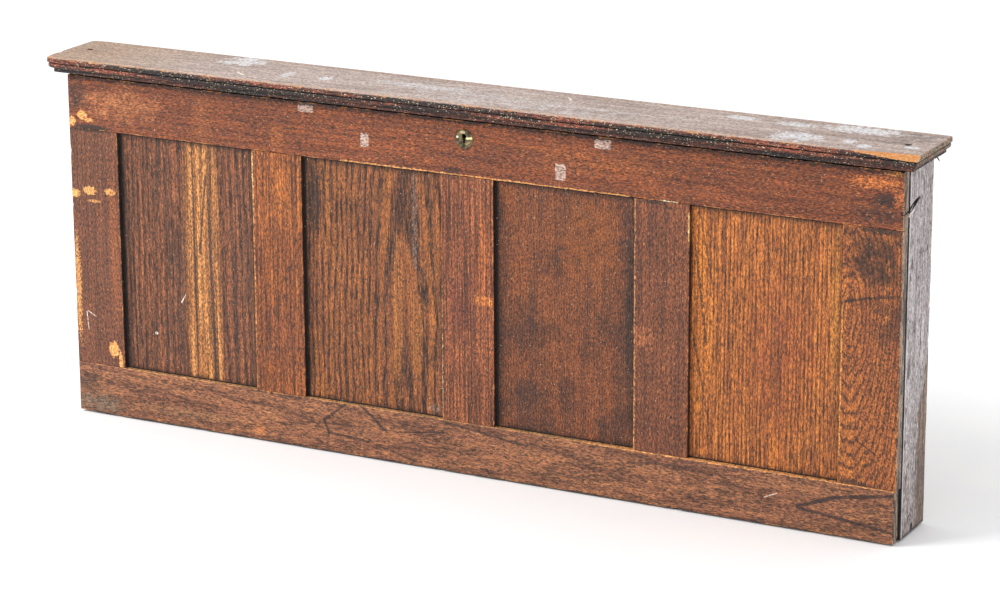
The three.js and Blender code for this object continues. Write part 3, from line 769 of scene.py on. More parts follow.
def make_bottom_rail():
    """Bottom rail, its lower back arris bevelled to clear the hinges."""
    low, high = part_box("door_rail_bottom")
    bevel = 6.8 * MM
    corners = [(low.y, low.z), (high.y - bevel, low.z), (high.y, low.z + bevel),
               (high.y, high.z), (low.y, high.z)]
    rail = worn_board("bottom_rail", corners, (1, 2, 0), low.x, high.x, 23, radius=0.5 * MM)
    pilots = []
    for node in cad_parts:
        if "door_screw" in node:
            spot_low, spot_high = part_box(node)
            outline = circle((spot_high.x - spot_low.x) / 2 * 0.6,
                             centre_of(spot_low, spot_high, (0, 2)), 16)
            pilots.append(prism_cutter(outline, 1, spot_low.y, high.y + 1 * MM))
    carve(rail, pilots)
    line = "24130f"
    marks = [
        ("blot", "6d5a48", 0.75, (-478, 12), (40, 14), 1.5, 1.0, 1.0),
        ("blot", "241812", 0.6, (-494, 36), (20, 12), 2.5, 1.2, 0.9),
        ("blot", "7d5a3c", 0.5, (-360, 16), (70, 8), 2.7, 1.2, 1.0),
        ("blot", "ad6a3a", 0.7, (-264, 12), (10, 10), 2.9, 0.8, 0.6),
        ("stroke", line, 0.8, (-150, 58), (-178, 36), 2.2, 3.1, 0.6),
        ("stroke", line, 0.8, (-178, 36), (-172, 22), 2.2, 3.3, 0.6),
        ("stroke", line, 0.8, (-172, 22), (-120, 18), 2.0, 3.5, 0.6),
        ("stroke", line, 0.8, (-128, 58), (-98, 34), 2.2, 3.7, 0.6),
        ("stroke", line, 0.7, (-110, 16), (-60, 4), 1.8, 3.9, 0.7),
        ("stroke", "170c0a", 0.9, (-86, 35), (-24, 44), 0.9, 4.1, 0.4),
        ("stroke", line, 0.7, (-24, 56), (70, 44), 1.8, 4.3, 0.8),
        ("stroke", line, 0.85, (508, 54), (440, 42), 2.6, 5.1, 0.5),
        ("stroke", line, 0.85, (440, 42), (398, 26), 2.8, 5.3, 0.5),
        ("stroke", line, 0.85, (398, 24), (460, 18), 2.2, 5.5, 0.5),
        ("stroke", line, 0.85, (460, 18), (508, 12), 2.2, 5.7, 0.5),
        ("stroke", line, 0.6, (200, 44), (330, 54), 1.8, 5.9, 0.8),
        ("stroke", "d8c6b4", 0.8, (360, 30), (374, 36), 0.7, 6.1, 0.3),
        ("stroke", "c98a4e", 0.8, (150, 58.5), (508, 58.5), 1.3, 6.3, 1.0),
        ("stroke", "b98a58", 0.6, (-450, 59), (150, 59), 1.0, 6.5, 1.2),
        # Painted shade along the foot, where the door meets the floor.
        ("stroke", "0d0807", 0.6, (-508, 0), (508, 0), 2.2, 6.7, 1.0),
    ]
    figure = dict(centre=30, heart=(58.0, 0.05), ring=9.0, early=0.42, sway=12.0, wobble=0.8,
                  pore=(0.66, 0.1))
    material = oak("bottom rail oak", "x", "y", 8.7, "76472e", "40251b", "8b5837", figure=figure,
                   ring_strength=0.45, pore_strength=0.35, fleck=0.28, grit=1.0, cloud=0.22,
                   marks=marks, outer=(low.x, high.x))
    place(rail, "drop_front", "frame_oak", material, "door_rail_bottom")


def make_uprights():
    """Stiles and muntins between the rails."""
    bare, black, pale = "dc9a56", "140d0b", "d8cdc4"
    looks = {
        "door_stile_left": dict(
            main="5b3320", dark="3d221a", light="724026", seed=1.3, marks=[
                ("blot", bare, 1.0, (-484, 267), (9, 5), 1.0, 1.0, 0.15),
                ("blot", bare, 1.0, (-503, 262), (6, 5), 2.0, 1.2, 0.15),
                ("blot", bare, 0.9, (-456, 268), (7, 4), 3.0, 1.3, 0.15),
                ("blot", bare, 0.5, (-478, 255), (10, 2), 3.5, 0.9, 0.3),
                ("blot", bare, 1.0, (-458, 80), (7, 10), 4.0, 0.7, 0.15),
                ("blot", bare, 0.9, (-449, 66), (3, 12), 4.5, 1.0, 0.2),
                ("blot", bare, 0.7, (-504, 150), (4, 60), 4.7, 1.8, 0.2),
                ("blot", "9a5428", 0.5, (-452, 200), (8, 120), 4.9, 0.8, 1.0),
                ("blot", black, 0.7, (-480, 339), (34, 3), 5.0, 1.2, 0.6),
                ("stroke", pale, 0.8, (-494, 121), (-492, 100), 0.8, 5.2, 0.5),
                ("stroke", pale, 0.8, (-492, 122), (-482, 117), 0.7, 5.4, 0.5)]),
        "door_muntin_1": dict(
            main="6d3714", dark="46241a", light="8d4c1a", seed=2.9, lines=0.5,
            marks=[("stroke", "d2a468", 0.85, (-265, 336), (-264.6, 255), 1.5, 1.0, 0.6),
                   ("stroke", bare, 0.45, (-264.6, 255), (-264.6, 60), 0.9, 1.2, 1.6),
                   ("blot", "5a2e20", 0.55, (-232, 130), (34, 60), 1.4, 0.8, 1.4),
                   ("blot", "a86024", 0.5, (-225, 290), (30, 60), 1.6, 0.8, 1.4)]),
        "door_muntin_2": dict(
            main="6d381d", dark="3a2019", light="834725", seed=4.4, lines=0.6,
            marks=[("blot", "c0712f", 0.6, (27, 202), (12, 7), 2.0, 2.0, 0.5),
                   ("blot", "a05626", 0.6, (26, 255), (9, 70), 2.2, 0.8, 1.0),
                   ("blot", "5c2d20", 0.6, (-4, 190), (24, 50), 2.4, 0.9, 1.2),
                   ("blot", black, 0.6, (-14, 338), (14, 4), 2.6, 1.0, 0.7),
                   ("stroke", "e0c090", 0.8, (-26, 210), (-26, 60), 0.9, 2.8, 1.4)]),
        "door_muntin_3": dict(
            main="5f321d", dark="3b211a", light="794223", seed=6.1,
            marks=[("stroke", bare, 0.45, (207, 338), (207, 60), 0.9, 1.0, 1.8),
                   ("stroke", "d8a868", 0.9, (269.5, 330), (269.5, 300), 1.4, 1.3, 0.5),
                   ("blot", black, 0.7, (228, 338), (16, 4), 1.6, 1.0, 0.6),
                   ("blot", "b0683a", 0.45, (216, 186), (13, 13), 1.9, 2.0, 0.8)]),
        "door_stile_right": dict(
            main="86461d", dark="3f2215", light="a35c22", seed=7.7, marks=[
                ("blot", "28150b", 0.85, (480, 310), (48, 40), 0.5, 1.2, 1.4),
                ("blot", "24140e", 0.6, (500, 235), (26, 34), 0.8, 1.2, 1.2),
                ("blot", black, 0.8, (485, 337), (28, 5), 1.0, 1.2, 0.7),
                ("stroke", "1a0f0b", 0.8, (446, 257), (474, 264), 2.0, 2.0, 0.7),
                ("stroke", "1a0f0b", 0.6, (474, 264), (508, 270), 2.0, 2.3, 0.8),
                ("stroke", "1a0f0b", 0.8, (462, 109), (484, 96), 1.3, 2.6, 0.6),
                ("blot", "20120d", 0.7, (460, 61), (30, 4), 2.9, 1.2, 0.7),
                ("stroke", "c8883e", 0.8, (443.5, 250), (443.5, 90), 0.9, 3.1, 0.9)],
            figure=dict(centre=452, heart=(-46.0, 0.27), ring=4.0, sway=18.0, wobble=1.1,
                        early=0.42, pore=(0.7, 0.3), fibre=0.4),
            ring_strength=0.85),
    }
    for node, look in looks.items():
        low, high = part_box(node)
        edge = 0.15 * MM
        post = worn_board(node.replace("door_", ""), plan_corners(low, high), (0, 1, 2),
                          SILL_HEAD + edge, RAIL_FOOT - edge, int(look["seed"] * 10),
                          radius=0.45 * MM, wear=0.15 * MM)
        outer = {"door_stile_left": (low.x,), "door_stile_right": (high.x,)}.get(node, ())
        figure = look.pop("figure", dict(heart=(26.0, 0.03), ring=5.0, centre=low.x / MM - 30,
                                         pore=(0.7, 0.18)))
        material = oak(node + " oak", "z", "y", figure=figure,
                       ring_strength=look.pop("ring_strength", 0.2), pore_strength=0.25,
                       fleck=0.28, grit=1.0, cloud=0.22, outer=outer, recess=True, **look)
        place(post, "drop_front", "frame_oak", material, node)


def make_panels():
    """Four sunk panels, each of its own board.

    A look's left border shift moves the border of the dirt and the painted shadow out past the
    opening, so that the left edge has neither.
    """
    gold, pale = "b0743c", "d8cdc4"
    looks = [
        dict(main="603720", dark="2a1a14", light="794323", seed=1.9,
             figure=dict(centre=-330, heart=(90.0, 0.01), ring=4.9, early=0.5, sway=8.0,
                         wobble=0.2), ring_strength=0.55, fleck=0.1, lines=0.5, grit=1.0,
             cloud=0.2,
             marks=[("blot", "96602f", 0.7, (-336, 200), (26, 190), 1.0, 0.25, 0.8, 2.0),
                    ("stroke", gold, 0.85, (-353, 60), (-350, 344), 2.6, 1.2, 0.5),
                    ("stroke", gold, 0.9, (-343, 60), (-340, 344), 2.8, 1.4, 0.4),
                    ("stroke", gold, 0.9, (-330, 60), (-336, 160), 3.2, 1.6, 0.4),
                    ("stroke", gold, 0.9, (-336, 160), (-331, 344), 3.2, 1.8, 0.4),
                    ("stroke", gold, 0.8, (-316, 60), (-318, 200), 3.0, 2.0, 0.6),
                    ("stroke", "3a2418", 0.85, (-347, 60), (-347, 344), 1.5, 2.2, 0.6),
                    ("stroke", "3a2418", 0.85, (-340, 210), (-330, 300), 1.8, 2.4, 0.5),
                    ("stroke", "33201a", 0.9, (-323, 60), (-326, 250), 2.8, 2.6, 0.5),
                    ("stroke", "3a2418", 0.8, (-326, 250), (-322, 344), 2.2, 2.8, 0.5),
                    ("stroke", pale, 0.8, (-367, 147), (-361, 157), 0.7, 3.0, 0.5),
                    ("blot", pale, 0.7, (-402, 106), (2.5, 2), 3.2, 0.5, 0.3)]),
        dict(main="79421f", dark="2e1a12", light="8e511e", seed=3.3,
             figure=dict(centre=-74, heart=(64.0, 0.03), ring=6.2, early=0.5, sway=20.0,
                         wobble=0.6), ring_strength=0.85, fleck=0.12, grit=0.95, lines=0.3,
             marks=[("blot", "1c100b", 0.8, (-188, 290), (10, 50), 1.0, 0.8, 0.8),
                    ("blot", "8b5424", 0.8, (-84, 170), (7, 110), 1.3, 0.5, 0.8),
                    ("blot", "8b5424", 0.6, (-60, 150), (9, 60), 1.5, 0.6, 0.8),
                    ("stroke", "8a7468", 0.35, (-61, 338), (-62, 230), 3.0, 1.8, 1.6),
                    ("blot", "7a6a5e", 0.5, (-38, 68), (9, 7), 2.1, 1.6, 1.0)]),
        dict(main="5f321a", dark="2a1712", light="7d411b", seed=5.2,
             figure=dict(centre=500, heart=(40.0, 0.02), ring=3.0, early=0.5, sway=8.0,
                         wobble=0.8, fibre=0.35, pore=(0.66, 0.2)), ring_strength=0.15,
             pore_strength=0.5, fleck=0.22, grit=0.95, cloud=0.55,
             marks=[("blot", "874919", 0.7, (150, 285), (50, 64), 1.0, 0.9, 1.5),
                    ("blot", "241613", 0.65, (78, 100), (28, 24), 1.3, 1.0, 1.3),
                    ("blot", "2e1a14", 0.5, (70, 180), (24, 40), 1.5, 1.0, 1.3),
                    ("blot", "1b100c", 0.7, (199, 200), (8, 160), 1.7, 0.4, 1.2)]),
        dict(main="96511f", dark="42240f", light="a75f1f", seed=6.8,
             figure=dict(centre=60, heart=(60.0, 0.012), ring=4.3, early=0.42, sway=5.0,
                         wobble=0.3), ring_strength=0.6, fleck=0.2, grit=0.85, lines=0.45,
             cloud=0.12, left_border_shift=11,
             marks=[("blot", "7f3f1c", 0.85, (370, 185), (54, 110), 1.0, 0.7, 1.4),
                    ("blot", "b1671f", 0.7, (284, 230), (13, 150), 1.3, 0.6, 1.0),
                    ("blot", "b0702a", 0.6, (434, 250), (6, 120), 1.5, 0.6, 0.8),
                    ("stroke", "3a210f", 0.8, (276, 290), (288, 190), 1.6, 1.7, 1.5),
                    ("stroke", "3a210f", 0.8, (280, 330), (296, 250), 1.2, 1.9, 1.6),
                    ("stroke", "3a210f", 0.7, (273, 200), (290, 110), 1.2, 2.1, 1.7)]),
    ]
    openings = ["door_stile_left", "door_muntin_1", "door_muntin_2", "door_muntin_3",
                "door_stile_right"]
    for index, look in enumerate(looks):
        node = f"door_panel_{index + 1}"
        low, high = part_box(node)
        board = worn_board(f"panel_{index + 1}", plan_corners(low, high), (0, 1, 2), low.z, high.z,
                           index + 40, radius=shape().panel_arris, wear=0.0)
        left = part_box(openings[index])[1].x / MM
        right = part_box(openings[index + 1])[0].x / MM
        left -= look.pop("left_border_shift", 0)
        look.setdefault("pore_strength", 0.75)
        material = oak(f"panel {index + 1} oak", "z", "y",
                       dirt_and_shadow_box=((left, right), (SILL_HEAD / MM, RAIL_FOOT / MM)), **look)
        place(board, "drop_front", "panel_oak", material, node)


# ------------------------------------------------------------------ case

def bezier(first, control, last, steps):
    """Quadratic curve: (1-t)^2 a + 2t(1-t) c + t^2 b, without its first point."""
    t = np.linspace(0, 1, steps + 1)[1:, None]
    first, control, last = map(np.array, (first, control, last))
    return (1 - t) ** 2 * first + 2 * t * (1 - t) * control + t ** 2 * last


NOSING_DROP, EDGE_DROP = 5.8, 17.3


def moulding():
    """Inset and depth, in mm, down the nosing and the mouldings under it on the top board."""
    return np.concatenate([
        [[30, 0], [18, 0], [13, 0], [11, 0], [9.5, 0], [8, 0], [6.5, 0], [5, 0], [3.5, 0], [2, 0],
         [1.2, 0]],
        bezier((1.2, 0), (0, 0), (0, 1.4), 4),
        [[0, 2.2], [0, 3.0], [0, 3.8], [0, 4.6]],
        bezier((0, 4.6), (0, NOSING_DROP), (1.4, NOSING_DROP), 3),
        [[2.3, 6.05], [3.2, 6.4]],
        bezier((3.2, 6.4), (1.4, 6.8), (1.4, 8.6), 4),
        bezier((1.4, 8.6), (1.6, 12), (5.2, 12.6), 6),
        [[5.9, 12.8], [6.6, 13], [6.6, 13.6], [6.6, 15.4], [6.6, 16.8], [6.6, EDGE_DROP],
         [7.4, EDGE_DROP]],
    ])


def rounded(x, y, corner, radius):
    """Points near an axis-aligned corner drawn onto a curve that rounds it.

    q is one minus the distance from the corner over the radius, kept from 0 to 1, and t is q / 2.
    The curve is the quadratic one with its control point on the corner, so a point on one side
    lies at (1 - t)^2 radii along its own side and t^2 radii in from it.
    """
    dx, dy = x - corner[0], y - corner[1]
    run = np.maximum(np.abs(dx), np.abs(dy))
    t = np.clip(1 - run / radius, 0, 1) / 2
    near = t > 0
    level = np.abs(dx) >= np.abs(dy)
    far, off = (1 - t) ** 2 * radius, t ** 2 * radius
    side_x = np.sign(dx.mean()) * np.where(level, far, off)
    side_y = np.sign(dy.mean()) * np.where(level, off, far)
    return np.where(near, corner[0] + side_x, x), np.where(near, corner[1] + side_y, y)


def make_top_board():
    """Top board: rings of its plan, drawn in by the moulding on the front and both ends.

    Each ring goes round left end, front, right end and rear; the rear is drawn in only on the
    top face. Corners are rounded by wear, and seeded wear moves the arrises in and down. Over the
    split's length the nosing's points are moved onto a slanting plane, y / a + z / b = s, with a
    and b the break's depths at the right end and s rising from 0 to 1 along it. The left
    corners are lopped, so their radii, in millimetres, are large.
    """
    low, high = CASE_LOW, CASE_HIGH
    profile = moulding()
    nose = profile[:, 0].argmin()
    scale = (high.z - low.z) / (EDGE_DROP * MM)
    end_count, front_count, rear_count = 44, 430, 60
    counts = (end_count, front_count, end_count, rear_count)
    share = [np.arange(count) / count for count in counts]
    side = np.repeat(np.arange(4), counts)
    run = np.concatenate(share)
    inset = profile[:, 0] * MM
    behind = np.where((profile[:, 1] == 0) & (profile[:, 0] > 1.3), profile[:, 0] * MM * 0.6, 0)
    behind[-1] = 0.8 * MM  # the underside's last ring is drawn in at the rear too
    left, right = low.x + inset, high.x - inset
    front, rear = low.y + inset, high.y - behind
    knots_x = np.stack([left, left, right, right, left], axis=1)
    knots_y = np.stack([rear, front, front, rear, rear], axis=1)
    x = knots_x[:, side] + run * (knots_x[:, side + 1] - knots_x[:, side])
    y = knots_y[:, side] + run * (knots_y[:, side + 1] - knots_y[:, side])
    ahead = np.where(side == 1, x[nose], y[nose] + 2)
    corners = ((left, front, 14), (left, rear, 10), (right, front, 2), (right, rear, 3))
    for row in range(len(profile)):
        worn = 1 - 0.5 * profile[row, 1] / EDGE_DROP
        for corner_x, corner_y, radius in corners:
            x[row], y[row] = rounded(x[row], y[row], (corner_x[row], corner_y[row]),
                                     radius * worn * MM)
    depth = np.repeat(profile[:, 1:], len(run), axis=1) * MM * scale
    level, flat = profile[:, 1:], (profile[:, :1] < 4.1)
    worn_left = 1 + 0.9 * np.clip((-0.1 - x[nose]) / 0.2, 0, 1) * (side == 1) + (side == 0)
    moved, bare = np.zeros_like(x), np.zeros_like(x)
    # depth and spread of the wear on each arris of the moulding, in mm, and its strength
    arrises = ((0.3, 1.8, 1.0), (5.4, 0.9, 0.8), (9.2, 1.6, 0.5), (EDGE_DROP - 0.1, 0.7, 0.6))
    for number, (centre, spread, strength) in enumerate(arrises):
        near = np.exp(-((level - centre) / spread) ** 2) * (flat | (level > 0)) * (side < 3)
        near = near * np.where(level == 0, np.exp(-np.maximum(profile[:, :1] - 1.2, 0) / 1.6), 1)
        rub = 0.35 * MM * (0.5 + 0.5 * ripple(ahead, 60 + number, 0.09))
        rub += nicks(ahead, 70 + number, 70, NICK_WIDTH, shape().nick_depth) * worn_left
        moved += near * rub * strength
        tint = np.clip(0.35 + 0.6 * ripple(ahead, 80 + number, 0.06), 0, 1) + rub / (1.1 * MM)
        bare = np.maximum(bare, near * np.clip(tint, 0, 1) * strength)
    y = y + np.where(side == 1, moved, 0)
    x = x + np.where(side == 0, moved, 0) - np.where(side == 2, moved, 0)
    z = high.z - depth - 0.6 * moved * (level < 1.5)
    deep, down, split = 10.5, 5.6, shape().split_length
    progress = np.clip((x - (high.x - split)) / (split * 0.9), 0, 1)
    break_at = progress ** 0.8 * (1 + 0.05 * ripple(x[nose], 91, 0.02, 5)) - 0.03
    now = (y - low.y) / MM / deep + (high.z - z) / MM / down
    short = np.maximum(break_at - now, 0) * (level < NOSING_DROP + 0.1)
    slope = 1 / deep ** 2 + 1 / down ** 2
    y = y + short / deep / slope * MM
    z = z - short / down / slope * MM
    bare = np.maximum(bare, np.clip(short * 40, 0, 1) * 3)
    board = skin("top_board", np.stack([x, y, z], axis=-1), wear=bare)
    cutters = []
    for node in ("top_screw_left", "top_screw_right"):
        spot_low, spot_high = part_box(node)
        plug = circle(4.1 * MM, centre_of(spot_low, spot_high, (0, 1)), 28)
        cutters.append(prism_cutter(plug, 2, spot_high.z - 3.2 * MM, high.z + 1 * MM))
    strike_low, strike_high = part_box("lock_strike")
    cutters.append(box_cutter((strike_low.x, strike_low.y, low.z - 1 * MM),
                              (strike_high.x, strike_high.y, strike_high.z)))
    cutters.append(box_cutter((strike_low.x + 13 * MM, strike_low.y + 3 * MM, low.z - 1 * MM),
                              (strike_high.x - 13 * MM, strike_high.y - 3 * MM, low.z + 7 * MM)))
    carve(board, cutters)
    place(board, "case", "cornice_oak", top_board_finish(), "case_top")


def top_board_finish():
    """Dark, dirty moulding with bare arrises, a painted shadow in the quirk under the nosing and
    painted shade on its lower part, under a greyed top face with a bloom on it, its tones
    painted paler to stand in for its sheen.
    """
    graph = Graph("top board oak")
    x, y, z = graph.x, graph.y, graph.z
    rings, pores, fine, streak = oak_figure(graph, "x", "z", 2.2, centre=10, heart=(50, 0.03),
                                            ring=7.0, early=0.5, sway=14.0)
    drop = CASE_HIGH.z / MM - z
    face = 1 - graph.rise(drop, 0.15, 0.9)
    dashes = graph.rise(pores, 0.5, 0.62)
    sharp = graph.rise(fine, 0.3, 0.7)
    mould = graph.mix(graph.rise(streak, 0.44, 0.58), "24130d", "84422c")
    patches = graph.noise(x * 0.05 + 4.0, y * 0.35, 7.1, 3, 0.6)
    # Painted sheen: the top face's greys are lighter than the wood, to stand in for its sheen.
    wood = graph.mix(graph.rise(streak, 0.36, 0.64), "a38f85", "b7a69e")
    wood = graph.mix(graph.rise(x, -300, -500, 0.85), wood, "a2866e")
    wood = graph.mix(rings * 0.18, wood, "6d5850")
    wood = graph.mix(dashes * 0.3, wood, "4a3a34")
    rear = graph.rise(y, CASE_HIGH.y / MM - 13, CASE_HIGH.y / MM - 5, 0.75)
    wood = graph.mix(rear * graph.rise(patches, 0.4, 0.6), wood, "9c7a64")
    # Whitish patches of bloom on the finish, painted paler to stand in for the sheen on the top:
    # partly painted sheen.
    bloom_and_sheen = "cdcacb"
    wood = graph.painted(wood, [
        ("blot", bloom_and_sheen, 0.85, (-310, 30), (30, 26), 1.0, 1.3, 1.0),
        ("blot", bloom_and_sheen, 0.7, (-232, -6), (7, 15), 1.4, 0.8, 0.4),
        ("blot", bloom_and_sheen, 0.85, (-184, -4), (8, 10), 1.8, 0.7, 0.4),
        ("blot", bloom_and_sheen, 0.6, (-70, 10), (70, 12), 2.2, 1.2, 0.9),
        ("blot", bloom_and_sheen, 0.4, (60, -14), (170, 30), 2.6, 1.6, 1.6),
        ("blot", bloom_and_sheen, 0.85, (302, 29), (22, 9), 3.0, 0.9, 0.6),
        ("blot", bloom_and_sheen, 0.8, (365, 26), (24, 9), 3.4, 1.0, 0.5),
        ("blot", bloom_and_sheen, 0.85, (384, -24), (30, 22), 3.8, 1.2, 0.6),
        ("blot", bloom_and_sheen, 0.9, (436, 33), (50, 17), 4.2, 1.1, 0.6),
        ("blot", bloom_and_sheen, 0.9, (441, -18), (8, 9), 4.6, 0.9, 0.4),
        ("blot", bloom_and_sheen, 0.9, (462, -30), (8, 9), 5.0, 0.9, 0.4),
        ("blot", bloom_and_sheen, 0.95, (508, -15), (9, 6), 5.4, 0.6, 0.4),
        ("blot", "5f5350", 0.6, (500, 26), (34, 24), 5.8, 1.3, 1.2),
        ("blot", "a08878", 0.6, (410, 4), (26, 7), 6.2, 1.2, 0.8),
        ("stroke", "c9a184", 0.7, (-528, -46), (420, -47), 3.0, 6.6, 0.8),
        ("stroke", "ece2cf", 0.8, (-288, -20), (-276, -28), 2.2, 7.0, 0.4),
        ("stroke", "e8dcc4", 0.6, (97, 32), (106, 20), 1.8, 7.4, 0.4),
    ], "xy")
    wood = graph.mix(0.6, wood, sharp, "OVERLAY")
    mould = graph.mix(1.0, mould, sharp, "OVERLAY")
    shade = graph.mix(face, mould, wood)
    dirt = graph.noise(x * 0.12, y * 0.2, z * 0.5, 5, 0.7)
    shade = graph.mix(graph.rise(dirt, 0.5, 0.58, 0.85) * (1 - face), shade, "0f0a08")
    # Painted shadow in the quirk under the nosing, a black band, and painted shade on the moulding's
    # lower, down-facing part.
    groove = 1 - graph.rise(abs(drop - 6.4), 0.3, 1.1)
    shade = graph.mix(groove * 0.9, shade, "0b0706")
    shade = graph.mix(graph.rise(drop, 9.5, 13.5, 0.6), shade, "140c0a")
    wear = graph.attribute("wear")
    patchy = graph.noise(x * 0.24, y * 0.4, z * 0.5, 5, 0.7)
    rubbed = graph.rise(wear + (patchy - 0.5) * 3.0, 0.7, 1.05, 0.95)
    bare = graph.mix(graph.rise(patches, 0.4, 0.62), "a8683c", "d39a60")
    torn = graph.mix(graph.rise(fine, 0.4, 0.6), "c07a3c", "dd9a58")
    bare = graph.mix(graph.rise(wear, 1.2, 1.6), bare, torn)
    shade = graph.mix(rubbed, shade, bare)
    ends = graph.rise(x, CASE_HIGH.x / MM - 3, CASE_HIGH.x / MM - 0.8, 0.7) * (1 - face)
    shade = graph.mix(ends * graph.rise(dirt, 0.42, 0.6), shade, "b3a68e")
    specks = graph.noise(x * 0.5, y * 0.5, z * 0.8, 1, 0.5)
    shade = graph.mix(graph.rise(specks, 0.66, 0.7, 0.85) * (1 - face * 0.8), shade,
                      "dccdae")
    rough = 0.62 + graph.rise(dirt, 0.5, 0.7, 0.15) + (streak - 0.5) * 0.1
    height = 0.5 - dashes * 0.6 + (sharp - 0.5) * 0.5 + (streak - 0.5) + (dirt - 0.5) * 0.6
    return graph.finish(shade, rough, height, 0.0004)


def make_sides():
    """Side boards; the right one has the prised slot and a small split at its foot."""
    for node in ("case_side_left", "case_side_right"):
        low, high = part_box(node)
        board = worn_board(node.replace("case_", ""), plan_corners(low, high), (0, 1, 2), low.z,
                           high.z, 57 if "left" in node else 58, radius=0.6 * MM)
        if "right" in node:
            slot = spindle((low.y - 4 * MM, (GOUGE_MM + 0.6) * MM),
                           (low.y + 27 * MM, (GOUGE_MM + 9.9) * MM), shape().gouge_width * 2.2)
            foot = spindle((low.y + 31 * MM, 0.5 * MM), (low.y + 32 * MM, 11 * MM), 2.6 * MM)
            carve(board, [prism_cutter(slot, 0, high.x - 4 * MM, high.x + 1 * MM),
                          prism_cutter(foot, 0, high.x - 2 * MM, high.x + 1 * MM)])
        place(board, "case", "case_side_oak", side_finish(node, low, high), node)


def side_finish(node, low, high):
    """Greyed, streaked oak with a browner patch that widens towards the rear foot.

    The left side is painted darker, so that the key light falling on it does not wash it out, and
    the right side's greys and pale streaks paler, to stand in for its sheen. Both have a painted
    shadow of the gap on their front edges and painted shade along their foot. The right one also
    has the slot's black inside, painted shade, and its own marks.
    """
    graph = Graph(node + " oak")
    x, y, z = graph.x, graph.y, graph.z
    seed = 3.0 if "left" in node else 5.0
    rings, pores, fine, streak = oak_figure(graph, "z", "x", seed, centre=40, heart=(40, 0.02),
                                            ring=5.0)
    dashes = graph.rise(pores, 0.52, 0.64)
    sharp = graph.rise(fine, 0.3, 0.7)
    hidden = "left" in node
    outer_x = (-low.x if hidden else high.x) / MM
    # Painted light: the right side's weathered greys and pale streaks are painted paler to stand in
    # for its sheen, and the left side's tones darker so that the key light on it does not wash it
    # out.
    old, worn, pale = (("63564e", "7d7069", "8f847e") if hidden else
                       ("9c9190", finish().weathered_and_sheen, "d6cdcf"))
    shade = graph.mix(graph.rise(streak, 0.38, 0.62), old, worn)
    long_streak = graph.noise(y * 0.25 + seed, x * 0.1, z * 0.012, 5, 0.65)
    shade = graph.mix(graph.rise(long_streak, 0.46, 0.62, 0.7), shade, pale)
    groove = graph.noise(y * 0.34 + seed, x * 0.1, z * 0.02 + seed, 4, 0.7)
    shade = graph.mix(graph.rise(groove, 0.56, 0.64, 0.4), shade, "5a5150")
    slope = graph.math("MAXIMUM", z - 125, 0.0) * 0.4 + 18
    ragged = graph.noise(y * 0.12 + seed, x * 0.1, z * 0.06, 6, 0.75) - 0.5
    brown = graph.rise(y - slope + ragged * 46, 0, 12, 0.9)
    wood = graph.mix(graph.rise(long_streak, 0.4, 0.6), "5f4534", "94745a")
    wood = graph.mix(rings * 0.4, wood, "4a352a")
    shade = graph.mix(brown, shade, wood)
    shade = graph.mix(graph.rise(ragged, 0.0, 0.14, 0.7) * graph.rise(z, 230, 40), shade,
                      "655449")
    shade = graph.mix(graph.rise(z, 170, 10, 0.35), shade, "6d5546")
    shade = graph.mix(dashes * 0.4, shade, "3a302d")
    stain = graph.noise(y * 0.16, x * 0.2, z * 0.06 + seed, 5, 0.7)
    shade = graph.mix(graph.rise(stain, 0.58, 0.64, 0.85), shade, "1c1614")
    shade = graph.mix(0.7, shade, sharp, "OVERLAY")
    # Painted shade along the foot, where the side meets the floor.
    shade = graph.mix(1 - graph.rise(z, 0, 5), shade, "2a211d")
    edge = y - low.y / MM
    rim = graph.rise(edge, 1.8, 2.5) * (1 - graph.rise(edge, 3.4, 5.0))
    shade = graph.mix(rim * graph.rise(long_streak, 0.38, 0.5) * 0.8, shade, "d6cfd0")
    # Painted shadow of the gap behind the door: the front edge face darkened, most at its outer
    # part.
    outer = graph.rise(abs(x), outer_x - 6, outer_x - 2)
    shade = graph.mix((1 - graph.rise(edge, 1.1, 1.8)) * (0.55 + 0.45 * outer), shade,
                      "120c0a")
    if not hidden:
        black = "0a0706"
        # Painted shade: the walls inside the prised slot turned black.
        inside = 1 - graph.rise(x, outer_x - 0.7, outer_x - 0.25)
        inside = inside * graph.rise(z, GOUGE_MM - 5.6, GOUGE_MM - 2.6)
        inside = inside * (1 - graph.rise(z, GOUGE_MM + 12.4, GOUGE_MM + 15.4))
        inside = inside * (1 - graph.rise(y, 11, 13))
        inside = inside * graph.rise(x, outer_x - 4.8, outer_x - 4.4)
        shade = graph.mix(inside, shade, black)
        # The black stroke along the gouge and the black blot in the split at the foot are painted
        # shade.
        shade = graph.painted(shade, [
            ("stroke", black, 1.0, (-17, GOUGE_MM), (10, GOUGE_MM + 9), 3.0, 1.0, 0.6),
            ("stroke", "e0d9d4", 0.95, (-17, 351.5), (-3, 355), 2.0, 1.4, 0.5),
            ("blot", black, 0.9, (14, 6), (4, 6), 1.8, 0.8, 0.4),
            ("blot", "241a16", 0.8, (-6, 186), (3, 12), 2.2, 1.0, 0.5),
            ("blot", "241a16", 0.8, (-5, 298), (3, 9), 2.6, 1.0, 0.5),
            ("stroke", "9a5a48", 0.6, (30, 239), (46, 247), 1.6, 3.0, 0.6)], "yz")
    wear = graph.attribute("wear")
    patchy = graph.noise(y * 0.3, x * 0.3, z * 0.25, 3, 0.65)
    rubbed = graph.rise(wear + (patchy - 0.5) * 1.5, 0.6, 1.0, 0.5) * graph.rise(edge, 1.0, 2.0)
    shade = graph.mix(rubbed, shade, "cdc4c2")
    height = 0.5 - dashes * 0.8 - rings * 0.2 + (streak - 0.5) * 1.2 + (sharp - 0.5) * 0.6
    return graph.finish(shade, 0.5 + graph.rise(stain, 0.5, 0.7, 0.2), height, 0.0005)


